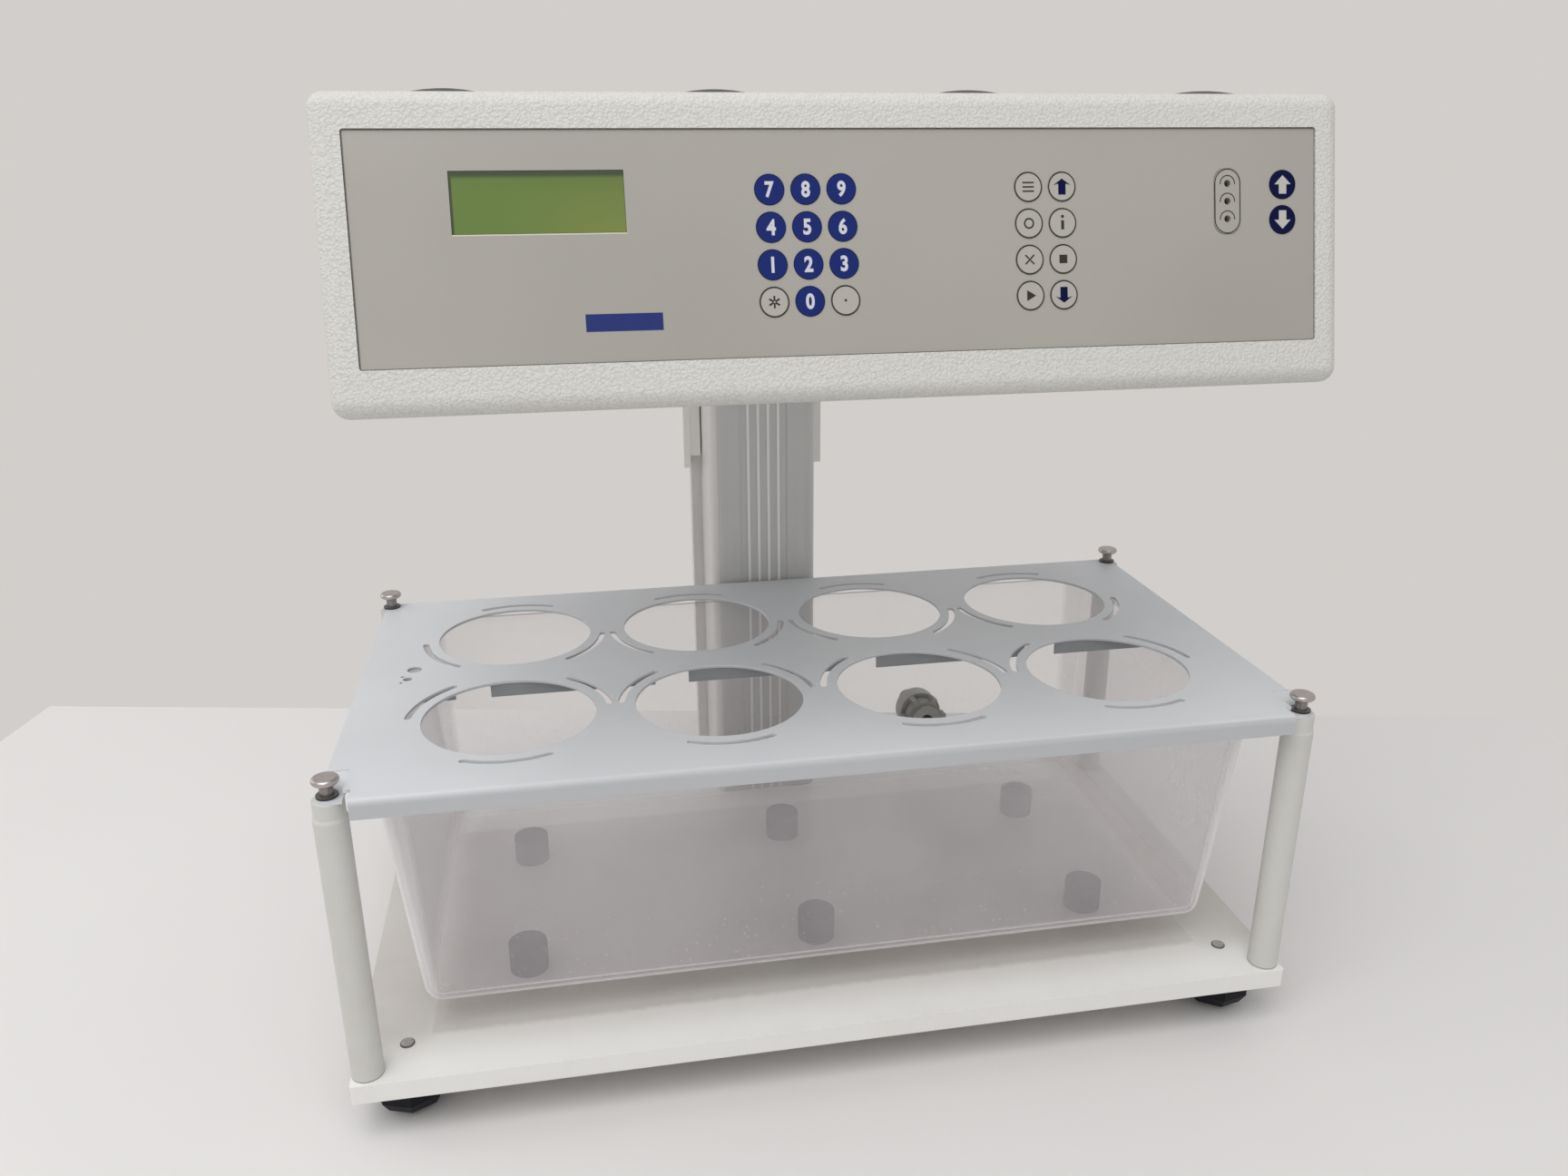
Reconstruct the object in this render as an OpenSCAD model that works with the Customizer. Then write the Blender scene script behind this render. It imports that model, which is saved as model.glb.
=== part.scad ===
// Tablet dissolution tester with eight vessel places and a head on a lift.
// Millimetres, +Z up, the operator stands on the -Y side.
// Depths are measured from the centre of the vessel grid, and the whole is then set over its own middle.

/* [Base] */
// Width of the base plate
base_w = 612; // [600:1:680]
// Base plate in front of the grid's centre
base_front = 156; // [150:1:180]
// Base plate behind the column
base_tail = 15; // [13:1:80]
// Thickness of the base plate
base_t = 13; // [8:0.5:20]
// Corner radius of the base plate
base_corner_r = 2; // [1:0.5:10]
// Height of a levelling foot
foot_h = 30; // [22:1:45]
// Corner radius of a foot's eight-sided body
foot_top_r = 24.5; // [20:0.5:26]
// Corner radius of the body's lower edge
foot_bottom_r = 20; // [16:0.5:20]
// Height of that edge over the bench
foot_edge_h = 5.5; // [3:0.5:8]
// Widening of the body per height, over that edge
foot_flare = 0.55; // [0.3:0.05:1]
// Diameter of the sole
sole_d = 30; // [20:1:32]
// From the base plate's end to a foot's stud
foot_inset_x = 30.5; // [27:0.5:50]
// From the base plate's front or rear edge to a foot's stud
foot_inset_y = 34; // [27:0.5:50]
// Diameter of a foot's stud
stud_d = 9; // [6:0.5:12]
// How far the stud's end stands out of the base plate
stud_proud = 1; // [0.5:0.5:4]

/* [Posts] */
// Diameter of a post
post_d = 19.5; // [18:0.5:21.5]
// From the base plate's ends to the rear posts' axes
post_inset_x = 11; // [11:0.5:13]
// From the base plate's front edge to the front posts' axes
post_inset_y = 12; // [11.5:0.5:13]
// Rear posts behind the grid's centre
post_rear = 146; // [140:1:160]
// Diameter of the collar at a post's top
collar_d = 18; // [13:0.5:18]
// From the vessel plate's underside down to the collar's foot
collar_h = 14.5; // [10:0.5:40]
// Height of the slope between a post and its collar
collar_slope = 2; // [0.5:0.5:3]
// Diameter of a thumb screw's shank
screw_d = 6; // [4:0.5:7]
// Length of the shank below its washer face
screw_l = 24; // [12:1:40]
// Diameter of a thumb screw's head
knob_d = 15.5; // [14:0.5:24]
// Thickness of a thumb screw's head
knob_t = 4; // [3:0.5:6]
// Height of a thumb screw above the sheet that it holds
knob_h = 12; // [10:0.5:20]
// Diameter of a thumb screw's neck
neck_d = 7.6; // [7.2:0.2:10]
// Diameter of a thumb screw's washer face
washer_d = 12.4; // [11:0.2:16]
// Thickness of the washer face
washer_t = 1.2; // [0.8:0.1:2]

/* [Vessel plate] */
// Vessel plate beyond a post's axis, at the ends
tab_side = 4; // [3.5:0.5:8]
// Vessel plate beyond the front posts' axes
tab_front = 18; // [12:0.5:30]
// Vessel plate beyond the rear posts' axes
tab_rear = 9; // [8:0.5:12]
// How far the rear tabs stay back from the folded edge
tab_back = 3; // [1:0.5:3]
// Corner radius of the tabs
tab_r = 7; // [4:0.5:7]
// From the vessel plate's ends to the folded edges
tab_w = 16.5; // [14:0.5:24]
// Front tab beside its post's axis, towards the end
ear_out = 6; // [5:0.5:8]
// Front tab beside its post's axis, towards the middle
ear_in = 9; // [8:0.5:11]
// Front tab in front of its post's axis
ear_front = 7.5; // [6.5:0.5:10]
// From a front post's axis back to where its tab leaves the sheet
ear_step = 20; // [18:1:24]
// How far a front tab is bent down
ear_drop = 5; // [3:0.5:6]
// Length of the notch between a front tab and the fold
ear_notch = 14; // [10:1:20]
// Sheet thickness
plate_t = 2; // [1.5:0.5:3]
// Depth of the folded edges
fold_h = 12; // [8:1:16]
// Outer radius of the fold
fold_r = 4; // [3.5:0.5:6]
// Top of the vessel plate above the base plate
plate_rise = 195.5; // [190:0.5:260]
// Diameter of a vessel hole
hole_d = 108; // [98:0.5:110]
// Vessel holes, centre to centre along a row
hole_pitch = 132.6; // [132:0.2:140]
// The two rows, centre to centre
row_pitch = 135.6; // [134:0.2:142]
// From a hole's edge to its arc slots
slot_gap = 6.7; // [5:0.1:7]
// Width of an arc slot
slot_w = 4.5; // [2.5:0.5:5]
// Half the angle that a slot spans
slot_half = 23.5; // [15:0.5:25]
// Stiffener, width across the web
rib_w = 26; // [18:1:26]
// Stiffener, depth
rib_h = 9.5; // [6:0.5:12]
// Stiffener, sheet thickness
rib_t = 1.5; // [1:0.5:2]
// Gaps in the stiffener's sides
rib_gap = 23; // [10:1:30]
// From a hole's centre line to the gap beside it
rib_gap_off = 26; // [20:1:30]

/* [Water bath] */
// From the posts to the bath's rim
bath_side_gap = 6.2; // [4:0.1:20]
// Bath's front wall at its floor, in front of the grid's centre
bath_front = 118; // [100:0.5:119]
// Bath's rear wall at its floor, behind the grid's centre
bath_rear = 131.5; // [124:0.5:133]
// Wall thickness
bath_wall = 3; // [2:0.5:4]
// Radius of the lower edges
bath_edge_r = 13; // [8:1:16]
// Radius of the upright corners
bath_corner_r = 20; // [18:1:40]
// Each end wall leans out by this over its height
bath_lean_x = 12; // [4:0.5:14]
// Front and rear walls lean out by this over their height
bath_lean_y = 16; // [8:0.5:17]
// Rim's reach beyond the wall
rim_reach = 3; // [2:0.5:5]
// Rim thickness
rim_t = 3; // [2:0.5:4]
// From the folded edges of the vessel plate down to the rim
rim_drop = 2; // [1:0.5:10]
// Height of the rubber feet under the bath
pad_h = 20; // [12:1:24]
// Diameter of the rubber feet
pad_d = 26; // [20:1:32]
// Rubber feet, spacing along the bath
pad_pitch_x = 201; // [160:1:220]
// Rubber feet, spacing across the bath
pad_pitch_y = 139; // [120:1:160]
// From the bath's rear wall to the rear rubber feet
pad_in = 50; // [40:1:60]
// Connector to the right of the middle
conn_x = 131; // [100:1:180]
// Connector above the bath's floor
conn_rise = 52; // [40:1:90]
// Diameter of the connector's ring nut, over its lugs
nut_d = 37; // [34:1:44]
// Thickness of the ring nut
nut_t = 11; // [8:1:16]
// Height of a lug on the ring nut
nut_lug = 4; // [2:0.5:5]
// Diameter of the connector's barrel
barrel_d = 24; // [18:1:26]
// How far the barrel stands out of the ring nut
barrel_proud = 6; // [3:0.5:10]
// Thickness of the connector's flange outside the bath
conn_flange_t = 16; // [4:0.5:18]
// Outer diameter of the hose nipple
nipple_d = 15; // [12:1:18]
// Length of the hose nipple
nipple_l = 26; // [20:1:30]
// Bore of the connector
conn_bore_d = 10; // [6:0.5:10]

/* [Column and lift] */
// Width of the column
col_w = 86; // [80:1:92]
// Depth of the column
col_d = 79; // [76:1:90]
// From the vessel plate's rear edge to the column
col_gap = 3; // [2:0.5:10]
// Corner radius of the column
col_corner_r = 10; // [4:1:12]
// Wall of the column
col_wall = 9; // [7:0.5:10]
// Column's top above the head's underside
col_over = 121; // [116:1:140]
// Depth of the guide flanges
flange_t = 14; // [8:1:18]
// Reach of a guide flange beyond the column's side
flange_reach = 8.5; // [6:0.5:10]
// Width of the slot in the column's rear
col_slot_w = 20; // [16:1:24]
// Ribs on the front face, centre to centre
groove_pitch = 8.1; // [6:0.1:10]
// Width of a rib
groove_rib_w = 2.2; // [1:0.1:3]
// Depth between the ribs
groove_depth = 1; // [0.5:0.1:2]
// Thickness of the column's cap
cap_t = 5; // [3:0.5:8]
// Diameter of the lift motor
lift_motor_d = 50; // [40:1:54]
// Height of the lift motor's can
lift_motor_h = 70; // [50:1:80]
// Height of the bearing boss on the lift motor
lift_boss_h = 12; // [10:1:20]
// Diameter of the lift screw
lift_screw_d = 12; // [10:0.5:16]
// Diameter of the lift screw's journals
journal_d = 8; // [6:0.5:9]
// Width of the lift nut
lift_nut_w = 28; // [24:1:40]
// Height of the lift nut
lift_nut_h = 30; // [20:1:40]
// Thickness of the carriage's plates
cheek_t = 5.5; // [4:0.5:8]
// Lower end of the carriage under the head
cheek_drop = 130; // [110:1:140]
// Height over which the carriage's cheeks reach forward to the head
cheek_slope = 60; // [40:1:80]
// Upper end of the carriage below the head's top
cheek_below = 16; // [12:1:30]
// Clear gap between a cheek and a guide flange
cheek_gap = 1; // [0.5:0.1:2]
// Height of a guide shoe
shoe_h = 44; // [30:1:60]
// From the ends of the carriage to its shoes
shoe_inset = 10; // [6:1:20]

/* [Head] */
// Width of the head
head_w = 516; // [508:1:540]
// Head's middle to the right of the grid's centre
head_off = -1.5; // [-3:0.1:3]
// Height of the head
head_h = 145.5; // [140:0.5:170]
// Head's lower front edge in front of the grid's centre
head_front = 192.2; // [186:0.1:210]
// Head's upper front edge in front of the grid's centre
head_front_top = 156.7; // [150:0.1:166]
// From the head's rear wall to the column
head_to_col = 12; // [8:1:30]
// From the vessel plate's top to the head
head_gap = 212.8; // [200:0.1:260]
// Wall of the head's shell
head_wall = 4; // [3.5:0.5:5]
// Edge radius of the shell
head_r = 8; // [6:0.5:9]
// Width of the shell's edge under the floor
head_lip = 14; // [11:0.5:20]
// Thickness of the head's floor
floor_t = 8; // [6:0.5:12]
// Diameter of the domed plugs on top
plug_d = 43; // [36:1:48]
// Crown of a plug above the top
plug_h = 2.7; // [2:0.1:4]
// Diameter of a plug's spigot
spigot_d = 30; // [20:1:32]
// Length of a plug's spigot under the shell
spigot_proud = 2; // [1:0.5:6]
// Plugs in front of the grid's centre
plug_front = 119; // [110:1:124]

/* [Control panel] */
// Shell on either side of the panel
panel_side = 15; // [12:0.5:16]
// Height of the panel, along the slope
panel_h = 108.5; // [106:0.5:112]
// From the head's lower edge up the slope to the panel
panel_rise = 24.4; // [18:0.1:26]
// Thickness of the panel
panel_t = 1.5; // [1.2:0.1:1.6]
// How deep the panel lies below the shell's face
panel_sunk = 1; // [0.5:0.1:1.4]
// Ledge behind the panel's edge
panel_ledge = 7; // [5:0.5:7]
// Corner radius of the panel
panel_r = 1.5; // [1:0.5:6]
// Diameter of a key
key_d = 14.6; // [12:0.1:15]
// Keys, centre to centre
key_pitch = 17.85; // [17.4:0.05:19]
// Lowest row of keys above the panel's lower edge
key_row = 26.4; // [22:0.1:28]
// How far a key stands out of the panel
key_proud = 0.3; // [0.2:0.1:0.5]
// Thickness and reach of the lip that holds a key behind the panel
key_lip = 0.8; // [0.6:0.1:1]
// Middle column of the number pad, from the panel's middle
pad_x = -28.4; // [-40:0.1:0]
// Left column of the function keys, from the panel's right edge
func_in = 157.5; // [130:0.1:170]
// Lift keys, from the panel's right edge
lift_in = 18.2; // [17:0.1:26]
// From the panel's left edge to the display
display_in = 46.2; // [30:0.1:60]
// From the panel's upper edge down to the display
display_drop = 18.9; // [15:0.1:30]
// Width of the display's window
display_w = 80.6; // [60:0.1:90]
// Height of the display's window
display_h = 28.6; // [20:0.1:34]
// Rim and thickness of the display's body behind the panel
display_rim = 5; // [3:0.5:6]
// Socket strip's middle, from the panel's right edge
socket_in = 49.3; // [46:0.1:90]
// From the panel's upper edge down to the socket strip
socket_drop = 20.3; // [16:0.1:40]
// Width of the socket strip
socket_w = 14.5; // [12:0.1:18]
// Length of the socket strip
socket_l = 32.8; // [30:0.1:40]
// Rim of the socket strip's body behind the panel
socket_rim = 3; // [2:0.5:4]
// Depth of the socket strip's body
socket_depth = 10; // [8:0.5:16]
// Diameter of a socket
socket_d = 3.6; // [3:0.1:6]
// Sockets, centre to centre
socket_pitch = 8.9; // [7:0.1:10]

/* [Drive] */
// Diameter of a spindle
spindle_d = 14; // [10:0.5:16]
// Diameter of the spindle's collar below the head
nose_d = 24; // [18:1:28]
// Height of the collar
nose_h = 12; // [6:1:14]
// Gap between the collar and the head's floor
nose_gap = 2; // [1:0.5:4]
// Diameter of the stub that takes a stirrer
stub_d = 10; // [6:0.5:12]
// Length of the stub
stub_l = 9; // [6:1:14]
// Spindle above its pulley
spindle_over = 8; // [4:1:20]
// Outer diameter of a bearing
bearing_d = 32; // [26:1:34]
// Thickness and reach of a bearing's flange
bearing_flange = 2; // [1:0.5:3]
// Wall of the hub under a pulley
hub_wall = 4; // [2:0.5:5]
// Height of the hub under a pulley
hub_h = 9; // [6:1:16]
// Diameter of a spindle's pulley
pulley_d = 40; // [36:1:42]
// Diameter of the motor's pulley
motor_pulley_d = 32; // [28:1:34]
// Height of a pulley
pulley_h = 14; // [12.5:0.5:20]
// Thickness of the rim under the belt
pulley_lip = 1.5; // [1:0.5:2]
// Width of the belt
belt_w = 10; // [6:1:10]
// Thickness of the belt
belt_t = 2.5; // [1.5:0.1:3]
// Diameter of a belt guide
guide_d = 14; // [10:1:16]
// How far a guide presses the belt in
guide_press = 8; // [4:0.5:9]
// Diameter of the drive motor
motor_d = 60; // [44:1:64]
// Height of the drive motor
motor_h = 70; // [50:1:76]
// Thickness of the motor's plate
motor_plate_t = 4; // [3:0.5:6]
// Gap between the pulleys and the motor's plate
motor_gap = 4; // [2:0.5:10]
// Diameter of the pillars that carry the motor
pillar_d = 8; // [6:0.5:10]
// Pillars beside the motor's middle
pillar_x = 28; // [24:1:29]
// Pillars in front of and behind the motor's can
pillar_y = 11; // [8:1:14]
// Diameter of the motor's shaft
shaft_d = 8; // [6:0.5:10]
// Length of the shaft inside the motor
shaft_in = 24; // [16:1:40]

/* [Clearances] */
// Running fit of shafts and studs, on the radius
run_fit = 0.05; // [0.02:0.01:0.1]
// Gap between pieces that are fitted by hand
hand_fit = 0.2; // [0.1:0.05:0.3]
// Gap between moving faces
slide_gap = 0.3; // [0.2:0.05:0.5]

/* [Hidden] */
$fn = 48;
// Cuts run past a face by this much, and joined solids into each other
over = 1;
// Faces that would otherwise run into one another stay apart by this much
ease = 0.1;
// Height of the hose nipple's barbs
barb_h = 1;
// Heights
base_z = foot_h;
deck_z = base_z + base_t;
plate_z = deck_z + plate_rise;
bath_z = deck_z + pad_h;
rim_z = plate_z - fold_h - rim_drop;
head_z = plate_z + head_gap;
head_top = head_z + head_h;
floor_low = head_z + head_wall + hand_fit;
floor_z = floor_low + floor_t;
// Plan positions, from the posts outwards
post_x = base_w / 2 - post_inset_x;
post_front = base_front - post_inset_y;
front_post_x = (base_w - post_d) / 2;
plate_w = 2 * (post_x + tab_side);
plate_front = post_front + tab_front;
plate_rear = post_rear + tab_rear;
fold_w = plate_w - 2 * tab_w;
col_y0 = plate_rear + col_gap;
col_y1 = col_y0 + col_d;
base_rear = col_y1 + base_tail;
foot_x = base_w / 2 - foot_inset_x;
foot_front = base_front - foot_inset_y;
foot_rear = base_rear - foot_inset_y;
POSTS = [[-front_post_x, -post_front], [front_post_x, -post_front],
         [-post_x, post_rear], [post_x, post_rear]];
// Top of the sheet over each post
SEATS = [for (p = POSTS) plate_z - (p[1] < 0 ? ear_drop : 0)];
FEET = [[-foot_x, -foot_front], [foot_x, -foot_front], [-foot_x, foot_rear], [foot_x, foot_rear]];
// Angles at which the feet stand after levelling
FOOT_TURNS = [4, -11, 15, 30];
HOLES = [for (row = [-1, 1], i = [0:3]) [(i - 1.5) * hole_pitch, row * row_pitch / 2]];
slot_r = hole_d / 2 + slot_gap + slot_w / 2;
// Small holes for a level at the plate's left edge: from the edge, behind the middle, diameter
EDGE_HOLES = [[34, 16.5, 10], [31, 1, 6], [27.5, -4.5, 2.4], [27.3, 5.5, 2.4]];
// Bath
bath_h = rim_z - bath_z;
bath_y = (bath_rear - bath_front) / 2;
bath_top_w = 2 * (post_x - post_d / 2 - bath_side_gap - rim_reach);
bath_floor_w = bath_top_w - 2 * bath_lean_x;
bath_floor_d = bath_rear + bath_front;
bath_top_d = bath_floor_d + 2 * bath_lean_y;
wall_tilt = atan(bath_lean_y / (bath_h - bath_edge_r));
conn_y = bath_rear + tan(wall_tilt) * (conn_rise - bath_edge_r);
conn_in = bath_wall + hand_fit + nut_t + barrel_proud;
// Column and carriage
col_top = head_z + col_over;
flange_x = col_w / 2 + flange_reach;
flange_y = col_y1 - flange_t;
screw_y = (col_y0 + col_y1) / 2;
screw_low = deck_z + lift_motor_h + lift_boss_h;
cheek_x = flange_x + cheek_gap;
cheek_low = head_z - cheek_drop;
cheek_top = head_top - cheek_below;
shoe_w = flange_reach;
shoe_y = flange_y - slide_gap - shoe_w;
shoe_low = cheek_low + shoe_inset;
shoe_high = cheek_top - shoe_inset - shoe_h;
carriage_back = col_y1 + cheek_t;
// Head: side profile, counter-clockwise
head_rear = col_y0 - head_to_col;
tilt = atan((head_front - head_front_top) / head_h);
PROFILE = [[-head_front, head_z], [head_rear, head_z], [head_rear, head_top], [-head_front_top, head_top]];
recess = panel_sunk + panel_t;
// Drive
nose_z = floor_low - nose_gap - nose_h;
hub_z = floor_z + bearing_flange + slide_gap;
pulley_z = hub_z + hub_h;
pulley_top = pulley_z + pulley_h;
lip_reach = belt_t + slide_gap + over;
belt_z = pulley_z + pulley_lip + slide_gap;
belt_off = slide_gap + belt_t / 2;
belt_r = pulley_d / 2 + belt_off;
guide_r = guide_d / 2 + belt_off;
guide_y = row_pitch / 2 + belt_r - guide_press + guide_r;
motor_at = [0, row_pitch / 2];
motor_low = pulley_top + motor_gap;
motor_z = motor_low + motor_plate_t;
GUIDES_FRONT = [for (i = [-1:1]) [i * hole_pitch, -guide_y]];
GUIDES_REAR = [for (k = [-1, -0.25, 0.25, 1]) [k * hole_pitch, guide_y]];
// Panel, and the middles of the pieces set into it
panel_w = head_w - 2 * panel_side;
func_x = panel_w / 2 - func_in;
lift_x = panel_w / 2 - lift_in;
display_x = display_in + display_w / 2 - panel_w / 2;
display_v = panel_h - display_drop - display_h / 2;
socket_x = panel_w / 2 - socket_in;
socket_v = panel_h - socket_drop - socket_l / 2;
// Keys: name, distance from the panel's middle, row from the lowest
PAD = [["f", "0", "dot"], ["1", "2", "3"], ["4", "5", "6"], ["7", "8", "9"]];
FUNC = [["start", "down"], ["clear", "stop"], ["set", "info"], ["menu", "up"]];
LIFT = ["lift_down", "lift_up"];
KEYS = concat(
    [for (r = [0:3], c = [0:2]) [str("key_", PAD[r][c]), pad_x + (c - 1) * key_pitch, r]],
    [for (r = [0:3], c = [0:1]) [str("key_", FUNC[r][c]), func_x + c * key_pitch, r]],
    [for (r = [0:1]) [str("key_", LIFT[r]), lift_x, r + 2]]);

// Outline corners: outward normal of an edge, and a corner drawn in by d from both its edges
function edge_normal(p, i) = let (e = p[(i + 1) % len(p)] - p[i]) [e[1], -e[0]] / norm(e);
function drawn_in(p, i, d) =
    let (a = edge_normal(p, (i + len(p) - 1) % len(p)), b = edge_normal(p, i))
    p[i] - d * (a + b) / (1 + a * b);

// The head's rounded lower edge reaches furthest to the front, the base plate furthest to the rear
head_reach = head_r - drawn_in(PROFILE, 0, head_r)[0];
middle_y = (base_rear - head_reach) / 2;

// Belt line over wheels [centre, signed radius], counter-clockwise, with guides negative
function heading(a, b) = let (v = b[0] - a[0]) atan2(v[1], v[0]) + asin((a[1] - b[1]) / norm(v));
function turn(from, to, way) = way > 0 ? (to - from + 720) % 360 : -((from - to + 720) % 360);
function belt_line(wheels, side, steps = 8) =
    let (n = len(wheels)) [
        for (i = [0:n - 1])
        let (w = wheels[i],
             from = heading(wheels[(i + n - 1) % n], w),
             sweep = turn(from, heading(w, wheels[(i + 1) % n]), w[1]))
        for (s = [0:steps])
        let (a = from + sweep * s / steps) w[0] + (w[1] + side) * [sin(a), -cos(a)]];
WHEELS = concat(
    [for (i = [0:6]) i % 2 == 0 ? [HOLES[i / 2], belt_r] : [GUIDES_FRONT[(i - 1) / 2], -guide_r]],
    [[HOLES[7], belt_r], [GUIDES_REAR[3], -guide_r], [HOLES[6], belt_r], [GUIDES_REAR[2], -guide_r],
     [motor_at, motor_pulley_d / 2 + belt_off], [GUIDES_REAR[1], -guide_r],
     [HOLES[5], belt_r], [GUIDES_REAR[0], -guide_r], [HOLES[4], belt_r]]);

// Rectangle with round corners, about its own middle
module round_rect(w, d, r) {
    square([w - 2 * r, d], center = true);
    square([w, d - 2 * r], center = true);
    for (x = [-1, 1], y = [-1, 1])
        translate([x * (w / 2 - r), y * (d / 2 - r)]) circle(r);
}

// Convex outline with round corners, drawn in by inset
module round_outline(p, inset, r) {
    n = len(p);
    mids = [for (i = [0:n - 1]) drawn_in(p, i, inset + r)];
    for (m = mids) translate(m) circle(r);
    polygon([for (i = [0:n - 1], side = [n - 1, 0]) mids[i] + r * edge_normal(p, (i + side) % n)]);
}

// Places its children on the head's tilted face: X across, Y up the slope, Z outwards
module on_face(x = 0, v = 0) {
    translate([head_off, -head_front, head_z]) rotate([90 - tilt, 0, 0]) translate([x, v, 0]) children();
}

// The same on the sunk panel, from its lower edge
module on_panel(x, v) {
    on_face(x, panel_rise + v) translate([0, 0, -panel_sunk]) children();
}

// The head's form, drawn in by inset: the side profile, with the edges rounded from front, top and rear
module head_form(inset) {
    r = max(head_r - inset, over);
    w = head_w - 2 * inset;
    reach = head_front + head_rear + 2 * head_h;
    middle_z = head_z + head_h / 2;
    intersection() {
        translate([head_off - w / 2, 0, 0]) rotate([90, 0, 90])
            linear_extrude(w) round_outline(PROFILE, inset, r);
        translate([head_off, reach, middle_z]) rotate([90, 0, 0])
            linear_extrude(2 * reach) round_rect(w, head_h - 2 * inset, r);
        on_face() rotate([-90, 0, 0]) translate([0, reach / 2 + inset, -reach])
            linear_extrude(2 * reach) round_rect(w, reach, r);
        translate([head_off, head_rear - inset - reach / 2, middle_z - reach])
            linear_extrude(2 * reach) round_rect(w, reach, r);
    }
}

module base_plate() {
    color("gainsboro") difference() {
        translate([0, (base_rear - base_front) / 2, base_z])
            linear_extrude(base_t) round_rect(base_w, base_front + base_rear, base_corner_r);
        for (p = FEET) translate([p[0], p[1], base_z - over])
            cylinder(d = stud_d + 2 * run_fit, h = base_t + 2 * over);
    }
}

module leveling_foot(i) {
    body_h = foot_h - slide_gap - foot_edge_h;
    color("#1b1d24") translate(FEET[i]) {
        rotate(FOOT_TURNS[i]) translate([0, 0, foot_edge_h]) intersection() {
            cylinder(h = body_h, r = foot_top_r, $fn = 8);
            cylinder(h = body_h, r1 = foot_bottom_r, r2 = foot_bottom_r + foot_flare * body_h, $fn = 8);
        }
        cylinder(h = foot_edge_h + over, d = sole_d);
        translate([0, 0, foot_h / 2]) cylinder(d = stud_d, h = deck_z + stud_proud - foot_h / 2);
    }
}

module posts() {
    collar_z = plate_z - plate_t - collar_h;
    color("lightgray") for (i = [0:3]) translate(POSTS[i]) difference() {
        rotate_extrude() polygon([
            [0, deck_z], [post_d / 2, deck_z], [post_d / 2, collar_z - collar_slope],
            [collar_d / 2, collar_z], [collar_d / 2, SEATS[i] - plate_t], [0, SEATS[i] - plate_t]]);
        translate([0, 0, SEATS[i] - screw_l - 2 * over])
            cylinder(d = screw_d + 2 * run_fit, h = screw_l + 2 * over);
    }
}

module thumb_screw(i) {
    edge = knob_t / 2;
    color("silver") translate([POSTS[i][0], POSTS[i][1], SEATS[i]]) {
        translate([0, 0, -screw_l]) cylinder(d = screw_d, h = screw_l + washer_t);
        cylinder(d = washer_d, h = washer_t);
        cylinder(d = neck_d, h = knob_h - edge);
        translate([0, 0, knob_h - knob_t]) rotate_extrude() {
            square([knob_d / 2 - edge, knob_t]);
            translate([knob_d / 2 - edge, edge]) circle(edge);
        }
    }
}

// Slot along an arc; its round ends are a little narrower, so that they meet its sides at a clear corner
module arc_slot(turned) {
    reach = 2 * slot_r;
    intersection() {
        difference() {
            circle(slot_r + slot_w / 2);
            circle(slot_r - slot_w / 2);
        }
        polygon([[0, 0],
                 for (s = [-1, 1]) reach * [cos(turned + s * slot_half), sin(turned + s * slot_half)]]);
    }
    for (s = [-1, 1]) rotate(turned + s * slot_half) translate([slot_r, 0]) circle(slot_w / 2 - ease);
}

// The sheet seen from above: the flat with its rear tabs, cut back to the folds, holes and slots
module plate_sheet() {
    tab_l = plate_front + plate_rear - 2 * tab_back;
    flat_l = plate_front + plate_rear - 2 * fold_r;
    middle = (plate_rear - plate_front) / 2;
    ear_x = front_post_x - ear_in - slide_gap;
    difference() {
        translate([0, middle]) difference() {
            round_rect(plate_w, tab_l, tab_r);
            for (s = [-1, 1]) translate([0, s * (flat_l + fold_r) / 2])
                square([fold_w + 2 * over, fold_r], center = true);
        }
        for (s = [-1, 1]) {
            translate([s * (ear_x + tab_w), -plate_front])
                square([2 * tab_w, 2 * (tab_front + ear_step)], center = true);
            translate([s * (fold_w / 2 + ease + tab_w), -plate_front])
                square([2 * tab_w, 2 * ear_notch], center = true);
        }
        for (h = HOLES) translate(h) {
            circle(d = hole_d);
            for (k = [0:2]) arc_slot((h[1] > 0 ? 90 : -90) + 120 * k);
        }
        for (i = [2, 3]) translate(POSTS[i]) circle(d = screw_d + 2 * slide_gap);
        for (e = EDGE_HOLES) translate([e[0] - plate_w / 2, e[1]]) circle(d = e[2]);
    }
}

// Section of a folded edge, with the sheet's outer corner at the origin: the bend and the upright leg
module fold_section() {
    intersection() {
        translate([fold_r, -fold_r]) difference() {
            circle(fold_r);
            circle(fold_r - plate_t);
        }
        translate([0, -fold_r]) square(fold_r);
    }
    translate([0, -fold_h]) square([plate_t, fold_h - fold_r]);
}

// Front tab about its post's axis, from the plate's top: bent down from the sheet, its outer corner round
module front_tab(side) {
    w = ear_in + ear_out;
    l = 2 * (ear_front + ear_step);
    low = -ear_drop - plate_t;
    flat = washer_d / 2 + over;
    difference() {
        intersection() {
            translate([side > 0 ? -ear_in : -2 * ear_out, 0, 0]) rotate([90, 0, 90])
                linear_extrude(w + ear_out) polygon([
                    [-l, low], [flat, low], [ear_step + over, -plate_t / 2], [ear_step + over, -ease],
                    [flat, -ear_drop], [-l, -ear_drop]]);
            translate([side * (ear_out - w), l / 2 - ear_front, 2 * low])
                linear_extrude(-2 * low) round_rect(2 * w, l, tab_r);
        }
        translate([0, 0, 2 * low]) cylinder(d = screw_d + 2 * slide_gap, h = -2 * low);
    }
}

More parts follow.
